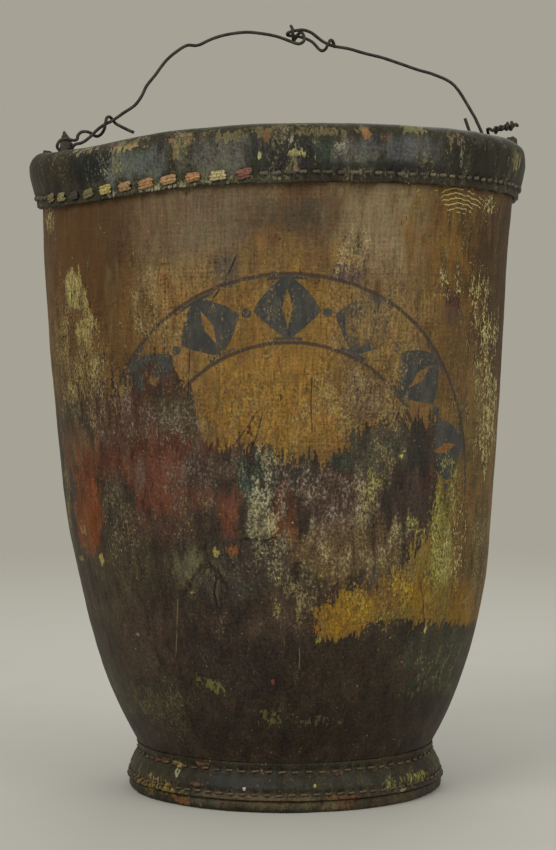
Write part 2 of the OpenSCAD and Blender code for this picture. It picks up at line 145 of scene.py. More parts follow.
@dataclass(frozen=True)
class WallRule:
    """Turned wall of the bucket, with the CAD's sizes."""

    mouth_r: float = 111.4
    taper: float = 16.2
    belly: float = 27.2
    power: float = 5.4
    top: float = 288.0
    waist_z: float = 18.5
    foot_z: float = 5.7
    flare: float = 3.2
    thick: float = 4.0
    painted_from: float = 6.0

    def radius(self, z: Points) -> Points:
        """Outer radius at heights z."""
        z = np.asarray(z, float)
        u = np.clip(self.top - z, 0.0, None) / (self.top - self.waist_z)
        upper = self.mouth_r - self.taper * u - self.belly * u ** self.power
        waist = self.mouth_r - self.taper - self.belly
        low = np.clip((self.waist_z - z) / (self.waist_z - self.foot_z), 0.0, 1.5)
        return np.where(z >= self.waist_z, upper, waist + self.flare * low ** 1.6)

    @property
    def shell(self) -> "Shell":
        """The wall's outer skin, to paint on."""
        return Shell(self.radius, self.painted_from, self.top)


@dataclass(frozen=True)
class Age:
    """How the old bucket has leaned and sagged away from its round shape.

    The sag and the slump come in between their first two heights, and the slump goes out between
    its last two. The bail keeps its height at its bores, and tilts with the rim further from them,
    between the two lengths of held.
    """

    lean: float = 3.56
    lean_from: float = 30.0
    rim_top: float = 300.0
    tilt: float = 0.014
    sag: float = 4.8
    sag_phi: float = math.radians(-52.0)
    sag_wide: float = math.radians(27.0)
    sag_z: Pair = (170.0, 290.0)
    slump: float = 1.7
    slump_z: tuple[float, float, float, float] = (85.0, 145.0, 245.0, 284.0)
    held: Pair = (2.0, 25.0)

    def share(self, z: Points) -> Points:
        """How far up the bucket a height is, from 0 to 1."""
        return np.clip((z - self.lean_from) / (self.rim_top - self.lean_from), 0.0, 1.0)

    def leaned(self, p: Points) -> Points:
        """Points moved by the lean, and by the wall's slump to the left in its middle."""
        out = p.copy()
        out[:, 0] -= (self.lean * self.share(p[:, 2])
                      + self.slump * between(p[:, 2], self.slump_z))
        return out

    def bucket(self, p: Points) -> Points:
        """Points of the bucket with lean, tilt and the rim's sag."""
        share = self.share(p[:, 2])
        out = self.leaned(p)
        sag = bell(turned(polar(p)[0] - self.sag_phi), self.sag_wide) * rise(p[:, 2], *self.sag_z)
        out[:, 2] += self.tilt * p[:, 0] * share - self.sag * sag
        return out

    def bail(self, p: Points) -> Points:
        """Points of the bail, which keeps its hinge line."""
        out = p.copy()
        free = rise(np.abs(np.abs(p[:, 0]) - BORE[0]), *self.held)
        out[:, 0] -= self.lean
        out[:, 2] += self.tilt * p[:, 0] * free
        return out


WALL = WallRule()
AGE = Age()


# Node trees


def operator(operation: str, swapped: bool = False) -> Callable:
    """A method of Value that adds a Math node on the value and another number.

    Args:
        operation: Operation of the Math node.
        swapped: True where the other number comes first.

    Returns:
        The method.
    """
    def method(self: "Value", other: "Number") -> "Value":
        """The Math node's result."""
        pair = (other, self) if swapped else (self, other)
        return self.graph.math(operation, *pair)
    return method


@dataclass(frozen=True)
class Value:
    """Output of a node whose arithmetic adds Math nodes to its tree; top gives the higher one."""

    graph: "Graph"
    socket: NodeSocket

    __add__, __radd__ = operator("ADD"), operator("ADD", True)
    __sub__, __rsub__ = operator("SUBTRACT"), operator("SUBTRACT", True)
    __mul__, __rmul__ = operator("MULTIPLY"), operator("MULTIPLY", True)
    __truediv__, __pow__ = operator("DIVIDE"), operator("POWER")
    top = operator("MAXIMUM")

    def __abs__(self) -> "Value":
        """Size without its sign."""
        return self.graph.math("ABSOLUTE", self)

    def rise(self, low: "Number", high: "Number") -> "Value":
        """Smooth step from 0 at low to 1 at high."""
        return self.graph.add("ShaderNodeMapRange", {"interpolation_type": "SMOOTHSTEP"},
                              {0: self, 1: low, 2: high})

    def fall(self, low: "Number", high: "Number") -> "Value":
        """Smooth step from 1 at low to 0 at high."""
        return 1.0 - self.rise(low, high)

    def of(self, name: str | int) -> "Value":
        """Another output of the same node."""
        return Value(self.graph, self.socket.node.outputs[name])


Number = Value | float


class Graph:
    """A node tree of a material or a modifier, with one method that makes its nodes."""

    def __init__(self, tree: NodeTree, empty: bool = True) -> None:
        """Take a tree and empty it, unless it is to be added to."""
        self.tree = tree
        if empty:
            tree.nodes.clear()

    def add(self, kind: str, settings: dict | None = None, inputs: dict | None = None,
            out: str | int = 0) -> Value:
        """Make one node.

        Args:
            kind: Type of the node.
            settings: Its settings.
            inputs: Values or links of its sockets, by name or number.
            out: Output that is returned.

        Returns:
            The node's output, or the first input of a node without outputs.
        """
        node = self.tree.nodes.new(kind)
        for key, value in (settings or {}).items():
            setattr(node, key, value)
        for key, value in (inputs or {}).items():
            if isinstance(value, Value):
                self.tree.links.new(value.socket, node.inputs[key])
            else:
                node.inputs[key].default_value = value
        return Value(self, (node.outputs if len(node.outputs) else node.inputs)[out])

    def math(self, operation: str, *values: Number) -> Value:
        """A Math node on values or numbers."""
        return self.add("ShaderNodeMath", {"operation": operation}, dict(enumerate(values)))

    def attribute(self, name: str, out: str = "Color") -> Value:
        """A named attribute of the mesh."""
        return self.add("ShaderNodeAttribute", {"attribute_name": name}, None, out)

    def split(self, vector: Value) -> tuple[Value, Value, Value]:
        """The three numbers of a vector or colour."""
        parts = self.add("ShaderNodeSeparateXYZ", None, {0: vector})
        return parts, parts.of(1), parts.of(2)

    def scaled(self, vector: Value, factors: Triple) -> Value:
        """A vector stretched by three factors."""
        return self.add("ShaderNodeVectorMath", {"operation": "MULTIPLY"}, {0: vector, 1: factors})

    def object_mm(self, factors: Triple = (1.0, 1.0, 1.0)) -> Value:
        """Object coordinates in millimetres, stretched by three factors."""
        place = self.add("ShaderNodeTexCoord", None, None, "Object")
        return self.scaled(place, tuple(f / MM for f in factors))

    def noise(self, place: Value, size: float, detail: float = 3.0, rough: float = 0.55) -> Value:
        """Noise with bumps of a size in millimetres, on a place in millimetres."""
        return self.add("ShaderNodeTexNoise", None,
                        {"Vector": place, "Scale": 1.0 / size, "Detail": detail,
                         "Roughness": rough})

    def streaks(self, tall: float, size: float, detail: float, rough: float) -> Value:
        """Noise on the object's own place, with its height multiplied by a factor."""
        return self.noise(self.object_mm((1.0, 1.0, tall)), size, detail, rough)

    def crazing(self, place: Value, size: float) -> Value:
        """Distance to the nearest crack of a net whose cells have a size in millimetres."""
        return self.add("ShaderNodeTexVoronoi", {"feature": "DISTANCE_TO_EDGE"},
                        {"Vector": place, "Scale": 1.0 / size})

    def bent(self, place: Value, size: float, reach: float, tall: float) -> Value:
        """A place in millimetres bent by noise, its height multiplied by a factor."""
        return self.add("ShaderNodeVectorMath", {"operation": "MULTIPLY_ADD"},
                        {0: self.noise(place, size, 2.0).of("Color"), 1: (reach, reach, reach),
                         2: self.scaled(place, (1.0, 1.0, tall))})

    def shaded(self, colour: "Value | tuple", *light: Number) -> Value:
        """A colour made lighter or darker by one number, or by one for each part of it."""
        grey = self.add("ShaderNodeCombineXYZ", None, dict(enumerate(light * (3 // len(light)))))
        return self.add("ShaderNodeMix", {"data_type": "RGBA", "blend_type": "MULTIPLY"},
                        {0: 1.0, 6: colour, 7: grey}, 2)

    def blend(self, share: Number, low: "Value | tuple", high: "Value | tuple") -> Value:
        """One colour laid over another by a share."""
        return self.add("ShaderNodeMix", {"data_type": "RGBA"}, {0: share, 6: low, 7: high}, 2)


@dataclass
class Skin:
    """What a finish gives to the shader."""

    colour: Value
    rough: Number = 0.6
    height: Value | None = None
    metal: Number = 0.0
    sheen: float = 0.4


class Finish:
    """A procedural finish, made into a material once."""

    title: str
    made: dict[str, Material] = {}

    def skin(self, g: Graph) -> Skin:
        """Colour, roughness and height of the finish."""
        raise NotImplementedError

    def material(self) -> Material:
        """The material, made the first time that it is asked for."""
        if self.title not in Finish.made:
            material = bpy.data.materials.new(self.title)
            material.use_nodes = True
            g = Graph(material.node_tree)
            skin = self.skin(g)
            inputs = {"Base Color": skin.colour, "Roughness": skin.rough, "Metallic": skin.metal,
                      "Specular IOR Level": skin.sheen}
            if skin.height is not None:
                inputs["Normal"] = g.add("ShaderNodeBump", None,
                                         {"Strength": 1.0, "Distance": MM, "Height": skin.height})
            shader = g.add("ShaderNodeBsdfPrincipled", None, inputs)
            g.add("ShaderNodeOutputMaterial", None, {"Surface": shader})
            Finish.made[self.title] = material
        return Finish.made[self.title]


# Places in the photograph


@dataclass(frozen=True)
class Shell:
    """A turned skin: its radius by height, and its lowest and highest line."""

    radius: Move
    low: float
    high: float


@dataclass(frozen=True)
class Eye:
    """The photograph's camera, which turns its columns and rows into places on the wall."""

    at: Triple = (-3.3, -1011.0, 192.0)
    pitch: float = 1.237
    focus: float = 2130.0
    middle: Pair = (278.0, 425.0)
    tries: int = 160
    per_mm: float = 2.3
    step: float = 0.6
    widest: float = 1.5

    def pixel(self, p: Points) -> Points:
        """Pixels of places in millimetres."""
        tilt = math.radians(self.pitch)
        d = p - np.array(self.at)
        ahead = d[:, 1] * math.cos(tilt) - d[:, 2] * math.sin(tilt)
        up = d[:, 2] * math.cos(tilt) + d[:, 1] * math.sin(tilt)
        return np.stack([self.middle[0] + self.focus * d[:, 0] / ahead,
                         self.middle[1] - self.focus * up / ahead], 1)

    def on_shell(self, pixels: Points, shell: "Shell") -> Points:
        """Places on a turned skin that the photograph shows at pixels.

        Args:
            pixels: Pixels, one in each row.
            shell: The turned skin.

        Returns:
            Length round the skin from the front, height, and angle, one place in each row.
        """
        wanted = np.asarray(pixels, float).reshape(-1, 2)
        phi, z = np.zeros(len(wanted)), np.full(len(wanted), (shell.low + shell.high) / 2.0)
        for _ in range(self.tries):
            radius = shell.radius(z)
            place = np.stack([radius * np.sin(phi), -radius * np.cos(phi), z], 1)
            miss = (wanted - self.pixel(AGE.bucket(place))) / self.per_mm
            turn = self.step * miss[:, 0] / radius / np.maximum(0.25, np.cos(phi))
            phi = np.clip(phi + turn, -self.widest, self.widest)
            z = np.clip(z - self.step * miss[:, 1], shell.low, shell.high)
        return np.stack([phi * shell.radius(z), z, phi], 1)


EYE = Eye()
PIXELS_PER_MM = 2.2


class Canvas:
    """Soft fields over points of the bucket's skin, filled patch by patch."""

    def __init__(self, points: Points, shell: Shell, shown: Points | float = 1.0) -> None:
        """Take the points before age moves them, their skin, and where it takes patches."""
        self.shell, self.shown = shell, shown
        self.phi, self.z = polar(points)[0], points[:, 2]
        self.s = self.phi * shell.radius(self.z)
        self.torn = (0.52 * swell(points * (1.0, 1.0, 0.5), 9.0, 3, 31.0)
                     + 0.5 * swell(points * (1.0, 1.0, 0.16), 3.2, 2, 32.0))

    def spot(self, x: float, y: float, w: float, h: float, edge: float = 2.2) -> Points:
        """Share of a soft oval at each point.

        Args:
            x: Its middle's pixel column.
            y: Its middle's pixel row.
            w: Half its width in pixels.
            h: Half its height in pixels.
            edge: Width of its edge in millimetres.

        Returns:
            One number for each point.
        """
        (s0, z0, phi0), = EYE.on_shell([(x, y)], self.shell)
        wide = w / PIXELS_PER_MM / max(0.3, math.cos(phi0))
        high = h / PIXELS_PER_MM
        away = (np.abs((self.s - s0) / wide) ** 2.5 + np.abs((self.z - z0) / high) ** 2.5) ** 0.4
        soft = min(0.5, max(0.15, edge / min(wide, high)))
        return (1.0 - rise(away + self.torn, 1.0 - soft, 1.0 + soft)) * self.shown

    def inside(self, outline: tuple[Pair, ...]) -> Points:
        """How far each point lies inside an outline of pixels, in millimetres."""
        corners = EYE.on_shell(outline, self.shell)[:, :2]
        nearest = np.full(len(self.s), 1e9)
        within = np.zeros(len(self.s), bool)
        for (ax, az), (bx, bz) in zip(corners, np.roll(corners, -1, 0)):
            ex, ez = bx - ax, bz - az
            t = np.clip(((self.s - ax) * ex + (self.z - az) * ez) / (ex * ex + ez * ez), 0.0, 1.0)
            nearest = np.minimum(nearest, np.hypot(self.s - ax - t * ex, self.z - az - t * ez))
            if ez:
                crossed = (az > self.z) != (bz > self.z)
                within ^= crossed & (self.s < ax + ex * (self.z - az) / ez)
        return np.where(within, nearest, -nearest)

    def colours(self, base: Points, spots: tuple, edge: float = 2.2) -> Points:
        """Colours with spots laid over them in order.

        Args:
            base: A colour for each point.
            spots: Column, row, half width, half height, colour and share of each spot.
            edge: Width of their edges in millimetres.

        Returns:
            A colour for each point.
        """
        out = base.copy()
        for x, y, w, h, tone, share in spots:
            weight = (share * self.spot(x, y, w, h, edge))[:, None]
            out = over(out, np.array(paint(tone)), weight)
        return out

    def levels(self, base: Points, spots: tuple) -> Points:
        """Numbers with spots laid over them in order: column, row, half sizes and level."""
        out = base.copy()
        for x, y, w, h, level in spots:
            out = over(out, level, self.spot(x, y, w, h))
        return out

    def lines(self, *kinds: tuple) -> Points:
        """Signed distance to the nearest stroke, its weight and its kind.

        Args:
            kinds: Strokes of each kind, with the half width and pixels of each stroke.

        Returns:
            Three numbers for each point.
        """
        out = np.zeros((len(self.s), 3))
        best = np.full(len(self.s), 6.0)
        strokes = [(kind, *stroke) for kind, row in enumerate(kinds) for stroke in row]
        for kind, wide, pixels in strokes:
            corners = EYE.on_shell(pixels, self.shell)[:, :2]
            for (ax, az), (bx, bz) in zip(corners, corners[1:]):
                length = math.hypot(bx - ax, bz - az)
                ex, ez = (bx - ax) / length, (bz - az) / length
                along = (self.s - ax) * ex + (self.z - az) * ez
                across = (self.s - ax) * ez - (self.z - az) * ex
                held = rise(along, -1.5, 0.5) * (1.0 - rise(along, length - 0.5, length + 1.5))
                near = (np.abs(across) < best) & (held > 0.01)
                best[near] = np.abs(across)[near]
                out[near] = np.stack([across / wide, held, np.full(len(held), kind)], 1)[near]
        return out


# Finishes


class Tint(Enum):
    """Ground colours of the plain dark leathers."""

    BOTTOM = ("2b231b", "3d3226")
    INSIDE = ("2f251b", "4b3a28")
    EAR = ("2c241c", "4d3c2a")


@dataclass(frozen=True)
class DarkLeather(Finish):
    """Plain old leather with grain, pale scuffs and cracks."""

    title: str
    tint: Tint

    def skin(self, g: Graph) -> Skin:
        """Grain and scuffs on the tint's two colours."""
        place = g.object_mm()
        cloud = g.noise(place, 9.0, 5.0, 0.6)
        fine = g.noise(place, 1.1, 4.0, 0.65)
        dark, light = (paint(c) for c in self.tint.value)
        colour = g.blend(cloud.rise(0.35, 0.7), dark, light)
        colour = g.blend(fine.rise(0.56, 0.72) * 0.5, colour, paint("6b5c43"))
        cracks = g.crazing(place, 2.4)
        height = fine * 0.25 + cracks.rise(0.0, 0.12) * 0.12
        return Skin(colour, 0.62 - 0.15 * fine, height)


@dataclass(frozen=True)
class Patches:
    """Tones and shares of one skin's paint, placed at the photograph's columns and rows.

    A tone has column, row, half width, half height, colour and share; a level and a mark have
    the level last. A mark is a rest of paint: its tone goes to the coat, its level to the cover.
    """

    coat: tuple[str, str]
    ground: tuple[str, str]
    fleck: str
    coats: tuple = ()
    grounds: tuple = ()
    flecks: tuple = ()
    marks: tuple = ()
    fleck_levels: tuple = ()
    chip_levels: tuple = ()


@dataclass
class Worn:
    """Worn paint's colour, relief and roughness, and the noises that broke it up."""

    colour: Value
    height: Value
    rough: Value
    rag: Value
    fine: Value
    drift: Value


@dataclass(frozen=True)
class OldPaint(Finish):
    """Rests of a coat of old paint on a dark ground, with chips, flecks and streaks."""

    title: str
    patches: Patches
    sheen: float = 0.3
    dull: float = 0.0

    def bases(self, canvas: Canvas, cloud: Points, small: Points, away: Points) -> tuple:
        """Coat, ground, cover, flecks and chips before the patches.

        Args:
            canvas: The skin's points; not used here.
            cloud: Wide noise at the points.
            small: Finer noise at the points.
            away: Share of each point that the photograph doesn't show.

        Returns:
            Two colours and three numbers for each point.
        """
        coat, ground = self.mixed(np.clip(0.5 + (0.5 + 0.7 * away) * small, 0.0, 1.0))
        cover = 0.1 + 0.5 * rise(cloud + 0.5 * small, 0.15, 0.5) * away
        return coat, ground, cover, 0.3 + 0.25 * small, np.full_like(small, 0.1)

    def mixed(self, share: Points) -> list[Points]:
        """Coat and ground, each mixed of its two colours by a share at every point."""
        return [over(np.array(paint(low)), np.array(paint(high)), share[:, None])
                for low, high in (self.patches.coat, self.patches.ground)]

    def lay(self, mesh: Mesh, points: Points, shell: Shell, shown: Points | float = 1.0) -> Canvas:
        """Store the paint's soft fields on a mesh.

        Args:
            mesh: The mesh.
            points: Its points before age moves them, in millimetres.
            shell: The skin that they lie on.
            shown: Share of each point that takes patches.

        Returns:
            The canvas that the fields were made on.
        """
        canvas = Canvas(points, shell, shown)
        p = self.patches
        cloud = swell(points, 60.0, 3, 20.0)
        small = swell(points * (1.0, 1.0, 0.7), 24.0, 3, 21.0)
        away = rise(np.abs(canvas.phi), math.radians(70.0), math.radians(100.0))
        coat, ground, cover, flecks, chips = self.bases(canvas, cloud, small, away)
        coat = canvas.colours(coat, p.coats, 12.0)
        for x, y, w, h, tone, level in p.marks:
            coat = canvas.colours(coat, ((x, y, 1.25 * w, 1.25 * h, tone, 1.0),))
            cover = canvas.levels(cover, ((x, y, w, h, level),))
        coat[:, :3] += (coat[:, :3].mean(1, keepdims=True) - coat[:, :3]) * self.dull
        warm = np.array((1.0, 0.96, 0.82, 1.0))
        put_field(mesh, "coat", coat * warm ** 0.5)
        put_field(mesh, "ground", canvas.colours(ground, p.grounds) * warm)
        tone = np.tile(paint(p.fleck), (len(canvas.z), 1))
        put_field(mesh, "fleck", canvas.colours(tone, p.flecks))
        shares = (cover, canvas.levels(flecks, p.fleck_levels), canvas.levels(chips, p.chip_levels))
        put_field(mesh, "shares", np.stack(shares, 1))
        return canvas

    def marked(self, g: Graph, coat: Value, rag: Value, fine: Value) -> Value:
        """The coat with what is painted on it; nothing here."""
        return coat

    def worn(self, g: Graph) -> Worn:
        """Coat over ground, broken up by noise, with chips, flecks, streaks and grain."""
        plain = g.object_mm()
        cover, flecks, chips = g.split(g.attribute("shares", "Vector"))
        rag = g.streaks(0.4, 5.5, 5.0, 0.62)
        fine = g.streaks(0.6, 0.95, 3.0, 0.65)
        rain = g.streaks(0.4, 1.8, 4.0, 0.72)
        spots = g.streaks(0.6, 0.95, 3.0, 0.75)
        grain = g.noise(plain, 1.1, 3.0, 0.7)
        streak = g.streaks(0.07, 0.9, 3.0, 0.6)
        weft = g.noise(g.object_mm((0.07, 0.07, 1.0)), 0.9, 2.0, 0.6)
        teeth = g.streaks(0.2, 1.6, 2.0, 0.5)
        drift = g.streaks(0.4, 6.0, 4.0, 0.6)
        dirt = g.streaks(0.6, 17.0, 5.0, 0.6)
        hues = g.split(g.streaks(0.5, 5.0, 5.0, 0.65).of("Color"))

        share = 0.25 + 2.4 * flecks
        shade = (1.0 + share * ((streak - 0.5) * 1.3 + (weft - 0.5) * 0.7 + (grain - 0.5) * 1.7
                                + (drift - 0.5) * 0.9) + (dirt - 0.5) * 0.6)
        coat = g.shaded(g.attribute("coat"), *(shade * (1.0 + (h - 0.5) * 0.35) for h in hues))
        chip_at = 0.76 - chips * 0.32
        chip = (rain + (drift - 0.5) * 0.35).rise(chip_at - 0.03, chip_at + 0.06)
        crack = g.crazing(g.bent(plain, 1.8, 3.2, 0.34), 2.5).fall(0.02, 0.16)
        crack = crack * (chips + (drift - 0.5) * 1.4 + (dirt - 0.5)).rise(0.28, 0.6)
        dark = g.shaded(g.attribute("coat"), 0.42, 0.36, 0.24)
        brown = g.blend(hues[0] * 0.7, dark, paint("4a3c33"))
        coat = g.blend((chip * 0.85).top(crack * 0.58), coat, brown)
        coat = self.marked(g, coat, rag, fine)
        earth = (1.0 + (drift - 0.5) * 1.5 + (streak - 0.5) * 1.2 + (weft - 0.5) * 0.5
                 + (grain - 0.5) * 2.4 + (dirt - 0.5) * 0.9)
        bare = g.shaded(g.attribute("ground"), *(earth * (1.0 + (h - 0.5) * 0.5) for h in hues))
        torn = (rag - 0.5) * 1.4 + (fine - 0.5) * 1.3 + (teeth - 0.5) * 1.9
        mask = (cover * 1.2 - 0.13 + torn).rise(0.43, 0.55)
        colour = g.blend(mask, bare, coat)

        clump = drift * 0.5 + dirt * 0.5
        cluster = 0.2 + 0.8 * clump.rise(0.42, 0.54)
        fleck_at = 0.74 - flecks * 0.37 - (clump - 0.5) * 0.5
        wide = spots.rise(fleck_at - 0.07, fleck_at) * 0.3 * cluster
        bright = spots.rise(fleck_at, fleck_at + 0.05) * cluster
        pale = g.shaded(g.attribute("fleck"), 0.94 + (grain - 0.5) * 3.4 + (hues[1] - 0.5))
        colour = g.blend(wide + bright * 0.68, colour, pale)
        dots = g.add("ShaderNodeTexVoronoi", None, {"Vector": plain, "Scale": 1.0 / 4.5})
        dust = dots.fall(0.06, 0.1) * (spots + dirt * 0.6).rise(0.82, 0.88)
        colour = g.blend(dust * 0.75, colour, g.shaded(g.attribute("fleck"), 1.7))
        height = (mask * 0.14 + bright * 0.12 - chip * mask * 0.08 + grain * 0.16
                  + streak * 0.1 + drift * 0.25)
        rough = 0.55 + 0.2 * bright + 0.2 * (grain - 0.5) + 0.1 * mask
        return Worn(colour, height, rough, rag, fine, drift)

    def skin(self, g: Graph) -> Skin:
        """The worn paint as it is."""
        worn = self.worn(g)
        return Skin(worn.colour, worn.rough, worn.height, 0.0, self.sheen)


FOOT_PAINT = OldPaint("foot leather", Patches(
    coat=("5a5032", "6b5a38"), ground=("241f16", "352f20"), fleck="565036",
    grounds=(
        (160, 772, 26, 12, "2f2a1c", 0.9), (250, 781, 44, 12, "292826", 0.9),
        (300, 776, 50, 10, "2a271d", 0.8), (360, 780, 44, 11, "2a281d", 0.85),
        (424, 786, 16, 8, "2e2928", 0.9), (200, 800, 18, 5, "3d403a", 0.9),
        (262, 802, 70, 6, "574a36", 0.85), (400, 801, 40, 6, "463b2b", 0.8)),
    flecks=((160, 788, 30, 10, "7d6c3a", 0.9), (416, 777, 30, 9, "716e3a", 0.9)),
    marks=(
        (160, 759, 10, 2.6, "5d3a24", 0.7), (176, 763, 4, 2.4, "8a7a3a", 0.85),
        (177, 773, 2, 3, "8a8a6a", 0.7), (201, 764, 8, 2.2, "6b5030", 0.7),
        (152, 778, 6, 2.5, "9c947c", 0.6), (194, 784, 7, 2.2, "654738", 0.7),
        (193.5, 780, 1.6, 2.6, "15120e", 0.98), (152, 786, 22, 5, "7a652f", 0.55),
        (176, 801, 7, 4, "6b4424", 0.95), (244, 789, 1.6, 1.6, "a8a494", 0.9),
        (314, 786, 4, 2.6, "92934c", 0.9), (338, 773, 5, 1.8, "5a3834", 0.6),
        (345, 802, 22, 6, "543520", 0.9), (420, 776, 24, 5, "66632c", 0.48),
        (413, 776, 7, 3.5, "857f3e", 0.55), (390, 784, 3, 3, "8a8056", 0.75),
        (404, 790, 3, 2, "7a7256", 0.7), (300, 807, 26, 4, "565034", 0.42)),
    fleck_levels=(
        (158, 788, 28, 9, 0.6), (415, 778, 28, 8, 0.55), (300, 800, 90, 8, 0.55),
        (250, 783, 36, 8, 0.16))), 0.22)

RIM_PAINT = OldPaint("rim leather", Patches(
    coat=("5a5238", "6d6340"), ground=("27261f", "3a382d"), fleck="77714f",
    # Pale blue-grey grounds along the middle of the roll: worn grey paint with a painted highlight of
    # the roll's sheen laid into it.
    grounds=(
        (50, 172, 24, 28, "2b2518", 0.95), (95, 166, 24, 15, "1e1f1f", 0.95),
        (145, 163, 26, 15, "525756", 0.95), (188, 160, 18, 14, "484740", 0.8),
        (225, 156, 30, 16, "585651", 0.95), (262, 158, 14, 16, "383939", 0.8),
        (295, 155, 24, 16, "262628", 0.9), (327, 153, 10, 12, "37413c", 0.9),
        (300, 164, 12, 6, "332e36", 0.7), (360, 153, 26, 13, "5c5954", 0.85),
        (405, 150, 38, 11, "4b4d50", 0.9), (405, 166, 62, 4, "242426", 0.85),
        (455, 158, 14, 16, "282720", 0.9), (492, 165, 28, 26, "242219", 0.97),
        (300, 127, 120, 3, "38341f", 0.8), (345, 178, 50, 2.4, "2b2013", 0.95),
        (410, 181, 45, 2.4, "2a2015", 0.95), (468, 185, 26, 2.6, "2f261a", 0.95)),
    flecks=(
        (110, 165, 26, 14, "7d7a68", 0.9), (342, 150, 12, 10, "8d8a78", 0.9),
        (50, 165, 24, 22, "68633e", 0.9), (500, 165, 30, 20, "57553f", 0.9)),
    marks=(
        (88, 149, 15, 4, "7d7448", 0.5), (130, 144, 22, 5, "665f30", 0.6),
        (109, 146, 8, 4, "5d4238", 0.6), (146, 147, 4, 3, "a09868", 0.8),
        (132, 147, 14, 2, "9a7d40", 0.7), (177, 141, 14, 8, "7a5428", 0.72),
        (172, 160, 6, 14, "75622f", 0.6), (120, 153, 2.5, 6, "8a8048", 0.75),
        (120, 163, 8, 7, "77703a", 0.5), (225, 137, 12, 6, "6f7048", 0.7),
        (226, 136, 6, 2.2, "8a5a2c", 0.9), (285, 131, 64, 5.5, "61562b", 0.66),
        (279, 134, 9, 4, "3c2f28", 0.85), (267, 134, 3, 7, "714a1c", 0.85),
        (258, 156, 2.6, 5, "aaa868", 0.95), (291, 141, 2.4, 3, "a8968c", 0.95),
        (294, 153, 11, 5, "817a36", 0.64), (294, 153, 7, 2, "b0ab58", 0.95),
        (292, 163, 9, 7, "61562b", 0.5), (314, 160, 2, 9, "83754a", 0.6),
        (367, 135, 3.4, 3.4, "96671c", 0.95), (384, 137, 8, 3.5, "6b4628", 0.66),
        (420, 128, 8, 3.4, "a39a44", 0.95), (416, 129, 13, 5, "6a6530", 0.64),
        (452, 140, 9, 9, "6b5a36", 0.5), (462, 160, 2, 13, "6b6252", 0.55),
        (515, 160, 6, 10, "80753a", 0.48), (504, 149, 3, 6, "7a725a", 0.5),
        (295, 170, 10, 2, "7d4a30", 0.66), (53, 165, 3, 8, "6a6346", 0.46),
        (180, 184, 60, 2.6, "857d68", 0.5), (340, 171, 50, 2.4, "736c5a", 0.46),
        (410, 174, 40, 2.4, "68624f", 0.46)),
    fleck_levels=(
        (290, 152, 250, 26, 0.2), (112, 165, 14, 12, 0.46), (60, 165, 22, 18, 0.36),
        (185, 145, 22, 12, 0.55), (225, 158, 34, 14, 0.22), (455, 160, 24, 16, 0.16),
        (290, 150, 24, 18, 0.5), (342, 150, 9, 9, 0.75), (372, 152, 26, 9, 0.42),
        (425, 160, 10, 9, 0.5), (240, 177, 90, 4, 0.6), (345, 171, 45, 3.2, 0.6),
        (402, 173, 36, 3.2, 0.55), (460, 178, 26, 3, 0.35), (485, 165, 28, 22, 0.2))), 0.18, 0.3)


